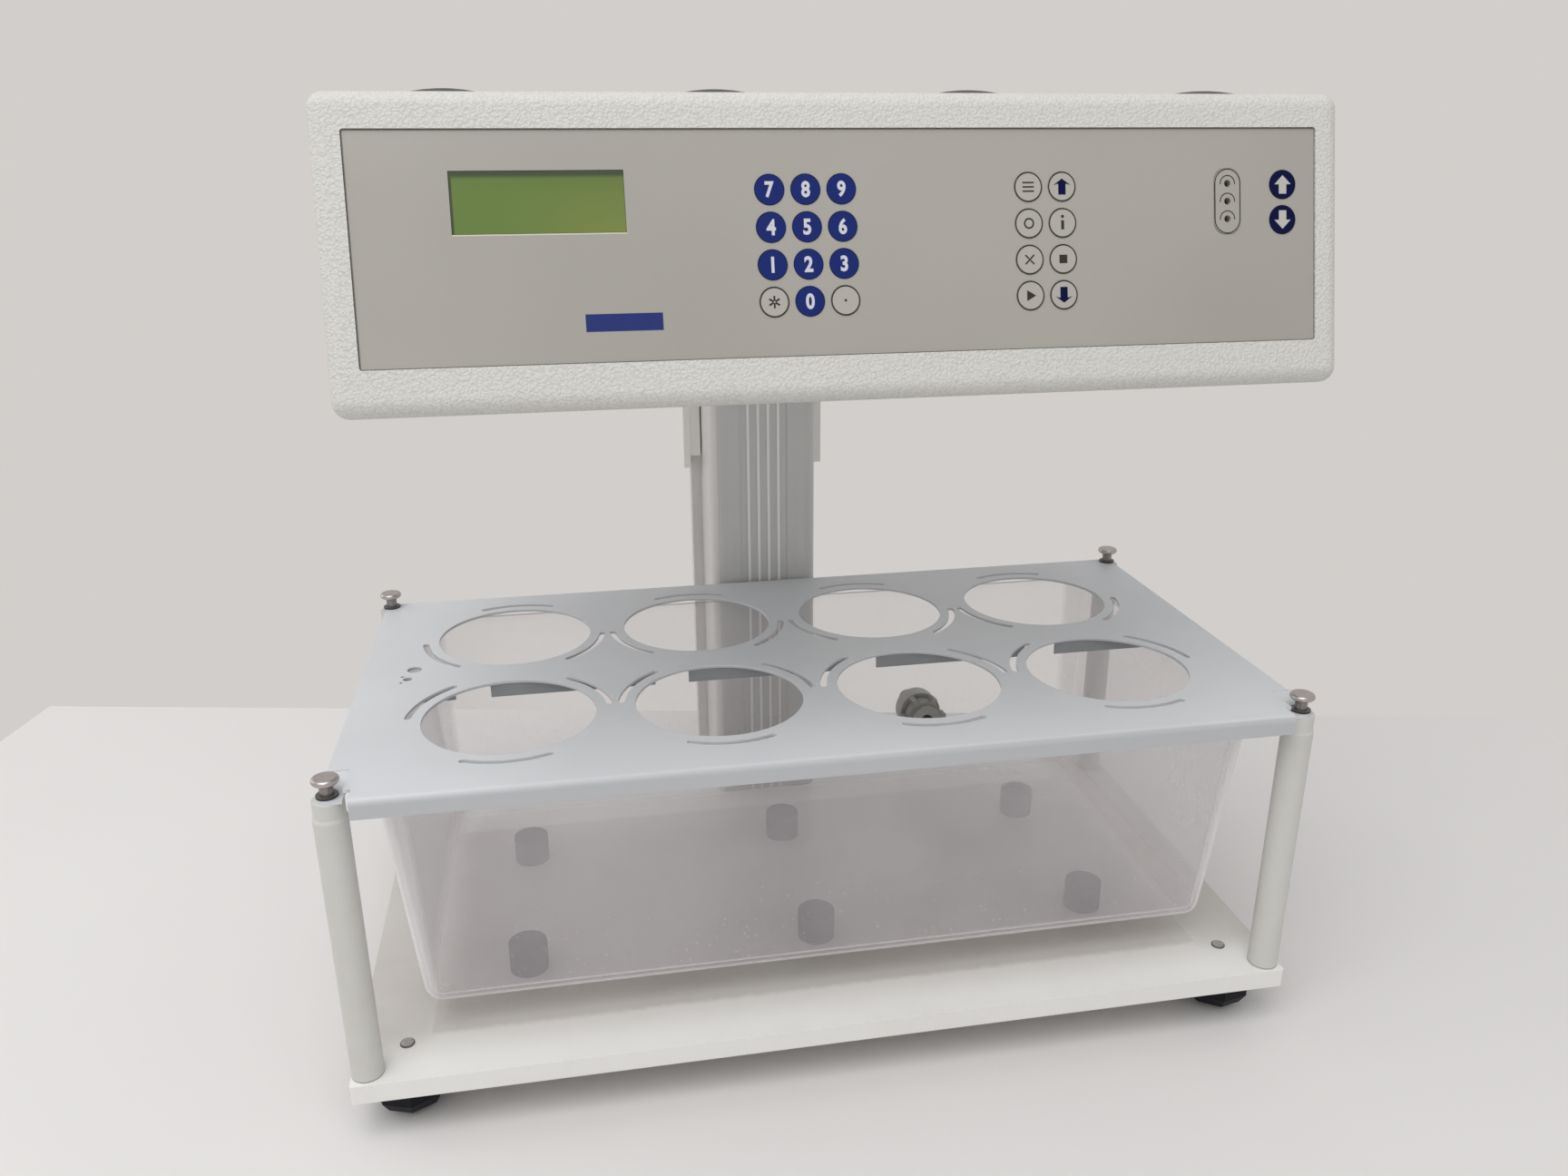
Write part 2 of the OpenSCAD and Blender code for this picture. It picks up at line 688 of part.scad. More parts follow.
module vessel_plate() {
    color("#c9ced2") {
        for (s = [-1, 1]) translate([s * front_post_x, -post_front, plate_z]) front_tab(s);
        translate([0, 0, plate_z - plate_t]) linear_extrude(plate_t) plate_sheet();
        for (edge = [[-plate_front, 90], [plate_rear, -90]])
            translate([0, edge[0], plate_z]) rotate([90, 0, edge[1]])
                translate([0, 0, -fold_w / 2]) linear_extrude(fold_w) fold_section();
    }
}

// Channel under the plate, its sides opened beside each hole
module plate_stiffener() {
    top = plate_z - plate_t;
    web_low = rib_h - rib_t;
    color("#aeb4b8") difference() {
        translate([-fold_w / 2, -rib_w / 2, top - rib_h]) cube([fold_w, rib_w, rib_h]);
        translate([-fold_w / 2 - over, rib_t - rib_w / 2, top - rib_h - over])
            cube([fold_w + 2 * over, rib_w - 2 * rib_t, web_low + over]);
        for (i = [0:3])
            translate([HOLES[i][0] - rib_gap_off - rib_gap / 2, -rib_w, top - rib_h - over])
                cube([rib_gap, 2 * rib_w, web_low + over]);
    }
}

// The bath's form between two heights, drawn in by inset
module bath_form(inset, z0, z1) {
    lean = (z0 - bath_z) / bath_h;
    edge = max(bath_edge_r - inset, over);
    corner = max(bath_corner_r - inset, over);
    low = [bath_floor_w / 2 - inset, bath_floor_d / 2 - inset] + lean * [bath_lean_x, bath_lean_y];
    high = [bath_top_w / 2 - inset, bath_top_d / 2 - inset];
    translate([0, bath_y, 0]) hull() for (x = [-1, 1], y = [-1, 1]) {
        translate([x * (low[0] - edge), y * (low[1] - edge), z0 + edge]) sphere(edge, $fn = 32);
        translate([x * (high[0] - corner), y * (high[1] - corner), z1 - over])
            cylinder(r = corner, h = over, $fn = 32);
    }
}

// Places its children on the bath's rear wall: Z out of the bath
module on_rear_wall() {
    translate([conn_x, conn_y, bath_z + conn_rise]) rotate([-90 - wall_tilt, 0, 0]) children();
}

module water_bath() {
    color("#c8c2cc", 0.4) difference() {
        union() {
            bath_form(0, bath_z, rim_z);
            translate([0, bath_y, rim_z - rim_t]) linear_extrude(rim_t)
                round_rect(bath_top_w + 2 * rim_reach, bath_top_d + 2 * rim_reach, bath_corner_r + rim_reach);
        }
        bath_form(bath_wall, bath_z + bath_wall, rim_z + over);
        on_rear_wall() translate([0, 0, -conn_in])
            cylinder(d = barrel_d + 2 * hand_fit, h = conn_in + conn_flange_t);
    }
}

module bath_feet() {
    color("#4a4a50") for (x = [-1:1], y = [0, 1])
        translate([x * pad_pitch_x, bath_rear - pad_in - y * pad_pitch_y, deck_z])
            cylinder(d = pad_d, h = pad_h);
}

// Tank fitting: barrel through the wall, lugged nut inside, flange and ringed hose nipple outside
// Turned along the bore: inner end, flange and a hose nipple with three barbs; the lugged ring nut round it
module bath_connector() {
    nut_low = -bath_wall - hand_fit - nut_t;
    flange_r = nut_d / 2 - nut_lug / 4;
    flange_top = hand_fit + conn_flange_t;
    barb_step = nipple_l / 6;
    color("#8d8f8a") on_rear_wall() {
        rotate_extrude() polygon([
            [conn_bore_d / 2, -conn_in], [barrel_d / 2, -conn_in], [barrel_d / 2, hand_fit],
            [flange_r, hand_fit], [flange_r, flange_top], [nipple_d / 2, flange_top],
            [nipple_d / 2, flange_top + 3 * barb_step],
            for (k = [3:5], end = [0, 1])
                [nipple_d / 2 + barb_h * (1 - end), flange_top + (k + end) * barb_step],
            [conn_bore_d / 2, flange_top + nipple_l]]);
        translate([0, 0, nut_low]) linear_extrude(nut_t) difference() {
            union() {
                circle(nut_d / 2 - nut_lug);
                for (a = [0:60:300]) rotate(a) translate([0, -nut_lug / 2]) square([nut_d / 2, nut_lug]);
            }
            circle((conn_bore_d + barrel_d) / 4);
        }
    }
}

module column_outline() {
    translate([0, screw_y]) round_rect(col_w, col_d, col_corner_r);
    translate([-flange_x, flange_y]) square([2 * flange_x, flange_t]);
}

module column() {
    color("#b9bcbc") translate([0, 0, deck_z]) linear_extrude(col_top - deck_z) difference() {
        column_outline();
        translate([0, screw_y]) square([col_w - 2 * col_wall, col_d - 2 * col_wall], center = true);
        translate([-col_slot_w / 2, screw_y]) square([col_slot_w, col_d]);
        for (k = [-2:2]) translate([k * groove_pitch, col_y0])
            square([groove_pitch - groove_rib_w, 2 * groove_depth], center = true);
    }
}

module column_cap() {
    inside = 2 * (col_wall + hand_fit);
    color("#3a3d40") difference() {
        union() {
            translate([0, 0, col_top]) linear_extrude(cap_t) column_outline();
            translate([0, screw_y, col_top - cap_t]) linear_extrude(cap_t + over)
                square([col_w - inside, col_d - inside], center = true);
        }
        translate([0, screw_y, col_top - cap_t - over]) cylinder(d = journal_d + 2 * run_fit, h = 2 * cap_t);
    }
}

module lift_motor() {
    color("#30343a") translate([0, screw_y, deck_z]) difference() {
        union() {
            cylinder(d = lift_motor_d, h = lift_motor_h);
            cylinder(d = lift_motor_d / 2, h = lift_motor_h + lift_boss_h);
        }
        translate([0, 0, lift_motor_h - over])
            cylinder(d = journal_d + 2 * run_fit, h = lift_boss_h + 2 * over);
    }
}

module lift_screw() {
    high = col_top - cap_t - slide_gap;
    color("silver") translate([0, screw_y, 0]) {
        translate([0, 0, screw_low - lift_boss_h])
            cylinder(d = journal_d, h = high + cap_t - screw_low + lift_boss_h);
        translate([0, 0, screw_low + slide_gap]) cylinder(d = lift_screw_d, h = high - screw_low - slide_gap);
    }
}

// Side plate of the carriage, as an outline in depth and height
module cheek_outline() {
    hold_z = head_z + head_wall;
    front = shoe_y - over;
    polygon([[head_rear, cheek_top], [carriage_back, cheek_top], [carriage_back, cheek_low],
             [front, cheek_low], [front, hold_z - cheek_slope], [head_rear, hold_z]]);
}

// Two cheeks with the plate that holds the head, a back plate, guide shoes and the lift nut on its tongue
module carriage() {
    wide = 2 * (cheek_x + cheek_t);
    tongue_w = col_slot_w - 4 * cheek_gap;
    color("#a6a9ab") difference() {
        union() {
            for (s = [-1, 1]) translate([s * (cheek_x + cheek_t / 2) - cheek_t / 2, 0, 0])
                rotate([90, 0, 90]) linear_extrude(cheek_t) cheek_outline();
            translate([-wide / 2, head_rear, head_z + head_wall])
                cube([wide, cheek_t, cheek_top - head_z - head_wall]);
            translate([-wide / 2, carriage_back - slide_gap, cheek_low])
                cube([wide, cheek_t, cheek_top - cheek_low]);
            for (s = [-1, 1], z = [shoe_low, shoe_high]) {
                translate([s * (cheek_x - shoe_w / 2) - shoe_w / 2, shoe_y, z])
                    cube([shoe_w, shoe_w, shoe_h]);
                translate([s * (cheek_x - shoe_w / 2) - shoe_w / 2, col_y1 + slide_gap, z])
                    cube([shoe_w, cheek_t, shoe_h]);
            }
            translate([-lift_nut_w / 2, screw_y - lift_nut_w / 2, shoe_low])
                cube([lift_nut_w, lift_nut_w, lift_nut_h]);
            translate([-tongue_w / 2, screw_y, shoe_low])
                cube([tongue_w, carriage_back - screw_y, lift_nut_h]);
        }
        translate([0, screw_y, shoe_low - over])
            cylinder(d = lift_screw_d + 2 * run_fit, h = lift_nut_h + 2 * over);
    }
}

// Housing with a sunk place for the panel; its lower edge turns in under the floor
module head_shell() {
    window_w = panel_w - 2 * panel_ledge;
    window_h = panel_h - 2 * panel_ledge;
    color("#e9e8e2") difference() {
        head_form(0);
        head_form(head_wall);
        translate([head_off, (head_rear - head_front) / 2, head_z - over])
            linear_extrude(head_wall + 2 * over)
                round_rect(head_w - 2 * head_lip, head_front + head_rear - 2 * head_lip, head_r);
        on_face(0, panel_rise + panel_h / 2) translate([0, 0, -recess])
            linear_extrude(recess + over) round_rect(panel_w + 2 * hand_fit, panel_h + 2 * hand_fit, panel_r);
        on_face(0, panel_rise + panel_h / 2) translate([0, 0, -2 * head_wall])
            linear_extrude(2 * head_wall) round_rect(window_w, window_h, panel_r);
        for (i = [0:3]) translate([head_off + HOLES[i][0], -plug_front, head_top - 2 * head_wall])
            cylinder(d = spigot_d + 2 * hand_fit, h = 3 * head_wall);
    }
}

// Plate on the shell's turned-in edge, with a bore for each bearing and a post for each belt guide
module head_floor() {
    color("#9fa3a6") {
        difference() {
            intersection() {
                head_form(head_wall + hand_fit);
                translate([-head_w, -head_w, floor_low]) cube([2 * head_w, 2 * head_w, floor_t]);
            }
            for (h = HOLES) translate([h[0], h[1], floor_low - over])
                cylinder(d = bearing_d + 2 * run_fit, h = floor_t + 2 * over);
        }
        for (g = concat(GUIDES_FRONT, GUIDES_REAR)) translate([g[0], g[1], floor_z - over])
            cylinder(d = guide_d, h = pulley_top - floor_z + over);
    }
}

module control_panel() {
    through = panel_t + 2 * over;
    color("#aca89e") difference() {
        on_panel(0, panel_h / 2) translate([0, 0, -panel_t])
            linear_extrude(panel_t) round_rect(panel_w, panel_h, panel_r);
        for (k = KEYS) on_panel(k[1], key_row + k[2] * key_pitch) translate([0, 0, -panel_t - over])
            cylinder(d = key_d + 2 * hand_fit, h = through);
        on_panel(display_x, display_v) translate([0, 0, -panel_t - over]) linear_extrude(through)
            square([display_w + 2 * hand_fit, display_h + 2 * hand_fit], center = true);
        on_panel(socket_x, socket_v) translate([0, 0, -panel_t - over]) linear_extrude(through)
            round_rect(socket_w + 2 * hand_fit, socket_l + 2 * hand_fit, socket_w / 2 - over);
    }
}

module key(k) {
    back = panel_t + slide_gap / 2;
    digit = abs(k[1]) < func_x && k[0] != "key_f" && k[0] != "key_dot";
    color(digit || k[1] == lift_x ? "#21308c" : "#b9b6ac") on_panel(k[1], key_row + k[2] * key_pitch) {
        translate([0, 0, -back - key_lip / 2]) cylinder(d = key_d, h = back + key_lip / 2 + key_proud);
        translate([0, 0, -back - key_lip]) cylinder(d = key_d + 2 * key_lip, h = key_lip);
    }
}

module display() {
    color("#7a9e4b") on_panel(display_x, display_v) {
        translate([0, 0, -panel_t - over]) linear_extrude(panel_t + over - hand_fit)
            square([display_w, display_h], center = true);
        translate([0, 0, -panel_t - display_rim]) linear_extrude(display_rim)
            square([display_w + 2 * display_rim, display_h + 2 * display_rim], center = true);
    }
}

module socket_strip() {
    color("#c9c6bc") on_panel(socket_x, socket_v) difference() {
        union() {
            translate([0, 0, -panel_t - over]) linear_extrude(panel_t + over + key_proud)
                round_rect(socket_w, socket_l, socket_w / 2 - over);
            translate([0, 0, -panel_t - socket_depth]) linear_extrude(socket_depth)
                square([socket_w + 2 * socket_rim, socket_l + 2 * socket_rim], center = true);
        }
        for (k = [-1:1]) translate([0, k * socket_pitch, -socket_depth])
            cylinder(d = socket_d, h = 2 * socket_depth);
    }
}

module top_plugs() {
    crown_r = (plug_d * plug_d / 4 + plug_h * plug_h) / (2 * plug_h);
    color("#3b3d42") for (i = [0:3]) translate([head_off + HOLES[i][0], -plug_front, head_top]) {
        rotate_extrude() intersection() {
            translate([0, plug_h - crown_r]) circle(crown_r, $fn = 360);
            square([plug_d, plug_h]);
        }
        translate([0, 0, -head_wall - spigot_proud])
            cylinder(d = spigot_d, h = head_wall + spigot_proud + over);
    }
}

module spindle_bearings() {
    color("silver") for (h = HOLES) translate([h[0], h[1], floor_low]) difference() {
        union() {
            cylinder(d = bearing_d, h = floor_t + bearing_flange);
            translate([0, 0, floor_t]) cylinder(d = bearing_d + 2 * bearing_flange, h = bearing_flange);
        }
        translate([0, 0, -over])
            cylinder(d = spindle_d + 2 * run_fit, h = floor_t + bearing_flange + 2 * over);
    }
}

// Pulley with the rim that carries the belt's lower edge
module belt_pulley(d) {
    cylinder(d = d, h = pulley_h);
    cylinder(d = d + 2 * lip_reach, h = pulley_lip);
}

module spindle(i) {
    color("silver") translate(HOLES[i]) {
        translate([0, 0, nose_z]) cylinder(d = spindle_d, h = pulley_top + spindle_over - nose_z);
        translate([0, 0, nose_z]) cylinder(d = nose_d, h = nose_h);
        translate([0, 0, nose_z - stub_l]) cylinder(d = stub_d, h = stub_l + over);
        translate([0, 0, hub_z]) cylinder(d = spindle_d + 2 * hub_wall, h = hub_h + over);
        translate([0, 0, pulley_z]) belt_pulley(pulley_d);
    }
}

module motor_pulley() {
    color("dimgray") translate([motor_at[0], motor_at[1], pulley_z]) {
        belt_pulley(motor_pulley_d);
        cylinder(d = shaft_d, h = motor_low - pulley_z + shaft_in);
    }
}

module drive_motor() {
    plate_x = pillar_x + pillar_d / 2 + over;
    plate_y = motor_d / 2 + pillar_y + pillar_d / 2 + over;
    color("#30343a") translate(motor_at) difference() {
        union() {
            translate([-plate_x, -plate_y, motor_low]) cube([2 * plate_x, 2 * plate_y, motor_plate_t]);
            translate([0, 0, motor_z - over]) cylinder(d = motor_d, h = motor_h + over);
            for (x = [-1, 1], y = [-1, 1]) translate([x * pillar_x, y * (motor_d / 2 + pillar_y), floor_z])
                cylinder(d = pillar_d, h = motor_z - floor_z - over);
        }
        translate([0, 0, motor_low - over]) cylinder(d = shaft_d + 2 * run_fit, h = shaft_in + 2 * over);
    }
}

module drive_belt() {
    color("#26282b") translate([0, 0, belt_z]) linear_extrude(belt_w) difference() {
        polygon(belt_line(WHEELS, belt_t / 2));
        polygon(belt_line(WHEELS, -belt_t / 2));
    }
}

translate([0, -middle_y, 0]) {
    base_plate();
    posts();
    vessel_plate();
    plate_stiffener();
    water_bath();
    bath_feet();
    bath_connector();
    column();
    column_cap();
    lift_motor();
    lift_screw();
    carriage();
    head_shell();
    head_floor();
    control_panel();
    display();
    socket_strip();
    top_plugs();
    spindle_bearings();
    drive_motor();
    motor_pulley();
    drive_belt();
    for (i = [0:3]) leveling_foot(i);
    for (i = [0:3]) thumb_screw(i);
    for (i = [0:7]) spindle(i);
    for (k = KEYS) key(k);
}
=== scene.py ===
"""Looks of a tablet dissolution tester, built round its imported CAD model."""
import math

import bpy
import numpy as np
from mathutils import Matrix, Vector


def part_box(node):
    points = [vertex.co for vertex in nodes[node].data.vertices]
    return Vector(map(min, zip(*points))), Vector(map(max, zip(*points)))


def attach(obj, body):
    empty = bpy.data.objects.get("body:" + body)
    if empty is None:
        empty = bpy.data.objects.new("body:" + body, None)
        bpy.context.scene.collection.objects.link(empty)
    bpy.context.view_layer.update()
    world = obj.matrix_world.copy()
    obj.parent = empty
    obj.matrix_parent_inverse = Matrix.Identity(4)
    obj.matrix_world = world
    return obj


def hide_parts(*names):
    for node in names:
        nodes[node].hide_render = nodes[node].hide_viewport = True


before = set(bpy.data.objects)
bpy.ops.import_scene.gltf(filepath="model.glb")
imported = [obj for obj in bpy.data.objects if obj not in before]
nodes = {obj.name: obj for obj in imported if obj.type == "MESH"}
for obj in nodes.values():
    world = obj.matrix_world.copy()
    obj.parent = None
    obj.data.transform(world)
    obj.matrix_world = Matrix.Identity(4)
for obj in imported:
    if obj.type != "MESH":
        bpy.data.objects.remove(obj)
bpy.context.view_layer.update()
scene = bpy.context.scene
scene.view_settings.view_transform = "Standard"
MM = 0.001


def ink(red, green, blue):
    """Colour as seen on a screen, 0 to 255, turned into the linear values that a shader takes."""
    c = np.array([red, green, blue]) / 255
    return (*np.where(c <= 0.04045, c / 12.92, ((c + 0.055) / 1.055) ** 2.4).tolist(), 1)


class Value:
    """One output of a finish's nodes. Arithmetic on it adds Math nodes."""

    def __init__(self, finish, socket):
        self.finish, self.socket = finish, socket

    def math(self, operation, *terms):
        return self.finish.node("Math", {"operation": operation}, dict(enumerate(terms)))

    def __add__(self, other):
        return self.math("ADD", self, other)

    def __sub__(self, other):
        return self.math("SUBTRACT", self, other)

    def __rsub__(self, other):
        return self.math("SUBTRACT", other, self)

    def __mul__(self, other):
        return self.math("MULTIPLY", self, other)

    def __truediv__(self, other):
        return self.math("DIVIDE", self, other)

    def __pow__(self, other):
        return self.math("POWER", self, other)

    def __abs__(self):
        return self.math("ABSOLUTE", self)

    __radd__, __rmul__ = __add__, __mul__

    def most(self, other):
        return self.math("MAXIMUM", self, other)

    def least(self, other):
        return self.math("MINIMUM", self, other)

    def rise(self, low, high):
        """0 below low, 1 above high and a smooth step between them; with high below low it falls instead."""
        if low > high:
            return 1 - self.rise(high, low)
        ends = {"Value": self, "From Min": low, "From Max": high}
        return self.finish.node("MapRange", {"interpolation_type": "SMOOTHSTEP"}, ends)


class Finish:
    """A material: one Principled shader and the nodes that feed it."""

    def __init__(self, name):
        self.material = bpy.data.materials.new(name)
        self.material.use_nodes = True
        self.tree = self.material.node_tree
        self.shader = self.tree.nodes["Principled BSDF"]

    def feed(self, socket, value):
        if isinstance(value, Value):
            self.tree.links.new(value.socket, socket)
        else:
            socket.default_value = value

    def node(self, kind, settings=None, inputs=None, out=0):
        """Adds a node: its settings first, then the values or links of its sockets; gives one output."""
        made = self.tree.nodes.new("ShaderNode" + kind)
        for key, value in (settings or {}).items():
            setattr(made, key, value)
        for key, value in (inputs or {}).items():
            self.feed(made.inputs[key], value)
        return Value(self, made.outputs[out])

    def place(self, centre=(0, 0, 0), turn=(0, 0, 0), scale=(1, 1, 1)):
        """The piece's own coordinates in metres, from a centre, turned and then stretched."""
        here = self.node("TexCoord", out="Object")
        here = self.node("VectorMath", {"operation": "SUBTRACT"}, {0: here, 1: centre})
        return self.node("Mapping", {}, {"Vector": here, "Rotation": turn, "Scale": scale})

    def axes(self, where):
        cut = self.node("SeparateXYZ", {}, {0: where}).socket.node
        return [Value(self, socket) for socket in cut.outputs]

    def noise(self, where, scale, detail=2.0, rough=0.5):
        sockets = {"Vector": where, "Scale": scale, "Detail": detail, "Roughness": rough}
        return self.node("TexNoise", {}, sockets)

    def cells(self, where, scale, smooth):
        sockets = {"Vector": where, "Scale": scale, "Smoothness": smooth}
        return self.node("TexVoronoi", {"feature": "SMOOTH_F1"}, sockets, out="Distance")

    def mix(self, share, first, second):
        """First colour where the share is 0, second where it is 1."""
        blend = self.node("Mix", {"data_type": "RGBA"}).socket.node
        colours = [s for s in blend.inputs if s.type == "RGBA"]
        self.feed(blend.inputs[0], share)
        self.feed(colours[0], first)
        self.feed(colours[1], second)
        return Value(self, next(s for s in blend.outputs if s.type == "RGBA"))

    def bump(self, height, depth, strength):
        """Relief of the given depth in metres where the height goes from 0 to 1."""
        return self.node("Bump", {}, {"Strength": strength, "Distance": depth, "Height": height})

    def shade(self, **inputs):
        for key, value in inputs.items():
            self.feed(self.shader.inputs[key.replace("_", " ")], value)
        return self.material


def grained_paint():
    """Off-white powder coat: low pebbles of about 1.5 mm, their borders warped by a noise, over a fine grain."""
    f = Finish("grained_paint")
    here = f.place()
    drift = f.node("VectorMath", {"operation": "SCALE"}, {0: f.node("TexNoise", {}, {
        "Vector": here, "Scale": 360.0}, out="Color"), "Scale": 0.0025})
    bent = f.node("VectorMath", {"operation": "ADD"}, {0: here, 1: drift})
    pebbles = f.cells(bent, 660.0, 0.3)
    grain = f.noise(here, 1500.0, 2.0)
    soil = f.noise(here, 9.0, 4.0, 0.6).rise(0.45, 0.8)
    colour = f.mix(pebbles.rise(0.35, 0.75) * 0.3, ink(209, 208, 204), ink(178, 176, 171))
    colour = f.mix(soil * 0.14, colour, ink(196, 190, 176))
    height = (1 - pebbles) * 0.85 + grain * 0.15
    return f.shade(Base_Color=colour, Roughness=0.42 + grain * 0.16, Specular_IOR_Level=0.35,
                   Normal=f.bump(height, 0.00055, 0.9))


def satin_paint(name, colour, soil_colour, soil_share, seam=None, shelter=None):
    """Sprayed paint: an orange-peel bump of about 1.5 mm, slow soiling and a roughness that follows both.

    A seam is the height of a dark line of painted contact shade. A shelter is a box in plan: dust and painted
    shadow lie thick under it, up to an uneven border, and thin around it, more so beside it along x.
    """
    f = Finish(name)
    here = f.place()
    peel = f.noise(here, 620.0, 2.0)
    soil = f.noise(here, 14.0, 5.0, 0.65)
    rubs = f.noise(f.place(scale=(1, 1, 0.35)), 90.0, 3.0).rise(0.62, 0.8)
    tint = f.mix((soil.rise(0.42, 0.78) + rubs * 0.35) * soil_share, colour, soil_colour)
    x, y, z = f.axes(here)
    # The seam is a painted contact shade: a dark line just above the foot of the part
    if seam is not None:
        tint = f.mix(z.rise(seam + 1.2 * MM, seam + 0.4 * MM) * 0.6, tint, ink(96, 92, 86))
    # Dust and painted shadow under the shelter and beside it along x, darkest under it
    if shelter is not None:
        low, high = shelter
        inside = (x - low.x).least(high.x - x).least(y - low.y).least(high.y - y)
        ragged = inside + (f.noise(here, 160.0, 4.0, 0.7) - 0.5) * (6 * MM)
        beside = (low.x - x).most(x - high.x).rise(-20 * MM, 5 * MM) * (low.y - y).rise(20 * MM, -10 * MM)
        dust = inside.rise(-28 * MM, -2 * MM) * 0.18 + ragged.rise(-2 * MM, 4 * MM) * (0.3 + soil * 0.3)
        dust = dust.most(beside * (0.45 + soil * 0.2))
        tint = f.mix(dust, tint, soil_colour)
    return f.shade(Base_Color=tint, Roughness=0.34 + peel * 0.12 + rubs * 0.08,
                   Normal=f.bump(peel, 0.00006, 0.7))


def sheet_paint():
    """Satin blue-grey coat of the folded sheet: a fine grain and faint clouds, and painted shade on its cut edges and
    folds.

    Its low tabs, which are at both ends and begin at a distance called tabs from the middle, stay pale.
    """
    f = Finish("sheet_paint")
    here = f.place()
    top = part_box("vessel_plate")[1].z
    grain = f.noise(here, 2200.0, 1.0)
    clouds = f.noise(here, 7.0, 3.0)
    x, _, z = f.axes(here)
    tabs = 284 * MM
    # Painted shade on the cut edges and the fold, below the sheet's top face, except on the low tabs
    cut = z.rise(top - 0.1 * MM, top - 1.2 * MM) * abs(x).rise(tabs + 1 * MM, tabs)
    colour = f.mix(clouds.rise(0.3, 0.7), ink(207, 210, 214), ink(213, 216, 220))
    colour = f.mix(grain.rise(0.55, 0.75) * 0.2, colour, ink(222, 224, 227))
    colour = f.mix(cut * 0.75, colour, ink(176, 178, 181))
    return f.shade(Base_Color=colour, Metallic=0.08, Roughness=0.42 + clouds * 0.06 + grain * 0.06,
                   Normal=f.bump(grain, 0.00003, 0.6))


def clear_plastic():
    """Moulded tub: clear with a milky haze that thickens in clouds, in upright scratches and where it is seen edge on.

    Specks of dust lie on it, fewer towards the rim. Its upright corners, which widen upwards, are milkier and
    paler: a painted highlight.
    """
    f = Finish("clear_plastic")
    here = f.place()
    clouds = f.noise(here, 11.0, 4.0, 0.6)
    scratches = f.noise(f.place(scale=(9, 9, 0.5)), 90.0, 2.0).rise(0.6, 0.8)
    low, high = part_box("water_bath")
    half = (high - low) / 2
    x, y, z = f.axes(f.place(centre=(low + high) / 2))
    up = (z + half.z) / (2 * half.z)
    specks = f.cells(here, 150.0, 0.0).rise(0.1, 0.06) * up.rise(1.0, 0.0)
    # Painted highlight down the upright corners, which widen upwards: milkier and paler
    past_x = abs(x) - half.x + (28 - up * 5) * MM
    past_y = abs(y) - half.y + (32 - up * 9) * MM
    corner = past_x.least(past_y).rise(0.5 * MM, 6 * MM)
    edge = f.node("LayerWeight", {}, {"Blend": 0.5}, out="Facing").rise(0.36, 0.82)
    haze = 0.08 + clouds * 0.1 + scratches * 0.04 + edge * 0.6 + specks * 0.25 + corner * 0.2
    colour = f.mix(clouds, ink(228, 222, 226), ink(240, 235, 238))
    colour = f.mix(edge.most(specks).most(corner), colour, ink(246, 244, 245))
    return f.shade(Base_Color=colour, Alpha=haze, Roughness=0.12 + clouds * 0.12, IOR=1.5,
                   Normal=f.bump(f.noise(here, 35.0, 2.0), 0.0004, 0.3))


def bare_metal():
    """Bare metal: a grain of about 3 mm and slow clouds in colour, gloss and relief."""
    f = Finish("plain_metal")
    here = f.place()
    grain = f.noise(here, 300.0, 3.0)
    clouds = f.noise(here, 12.0, 3.0)
    tint = f.mix(grain * 0.7 + clouds * 0.3, ink(150, 150, 150), ink(188, 188, 188))
    return f.shade(Base_Color=tint, Metallic=0.85, Roughness=0.28 + grain * 0.12 + clouds * 0.06,
                   Normal=f.bump(grain, 0.00002, 0.6))


def rail_metal():
    """Anodised extrusion with streaks along its length. Its front is darker, a painted shade, with four rib crests
    in painted highlight on it; its sides are paler, as painted light.

    The shaded front runs from left to the right-hand corner, which has a step of step_depth.
    """
    f = Finish("rail_metal")
    here = f.place()
    x, y, _ = f.axes(here)
    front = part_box("column")[0].y
    left, step, step_depth, rib_pitch, rib_reach = (v * MM for v in (-38, 32, 8.5, 8.1, 14))
    streaks = f.noise(f.place(scale=(700, 700, 5)), 1.0, 3.0)
    clouds = f.noise(here, 9.0, 3.0)
    # The front in painted shade, from left to the right-hand corner's step
    face = y.rise(front + 1.6 * MM, front + 1.2 * MM) * x.rise(left, left + 1.5 * MM)
    face = face.most(x.rise(step, step + 1 * MM) * y.rise(front + step_depth + 1 * MM, front + step_depth))
    off = abs(f.node("Math", {"operation": "FRACT"}, {0: x / rib_pitch}) - 0.5) * rib_pitch
    ribs = abs(x).rise(rib_reach + 1 * MM, rib_reach) * y.rise(front + 0.5 * MM, front + 0.3 * MM)
    # Painted highlight on the four rib crests
    rib_highlight = off.rise(1.25 * MM, 0.95 * MM) * ribs
    # Sides paler as painted light, the front darker as painted shade
    side = f.mix(streaks * 0.6 + clouds * 0.4, ink(214, 212, 210), ink(226, 224, 222))
    shaded_front = f.mix(streaks * 0.5 + clouds * 0.5, ink(194, 194, 193), ink(212, 212, 211))
    tint = f.mix(rib_highlight, f.mix(face, side, shaded_front), ink(240, 240, 238))
    return f.shade(Base_Color=tint, Metallic=0.15, Roughness=0.3 + streaks * 0.12 + clouds * 0.05,
                   Normal=f.bump(streaks, 0.00002, 0.6))


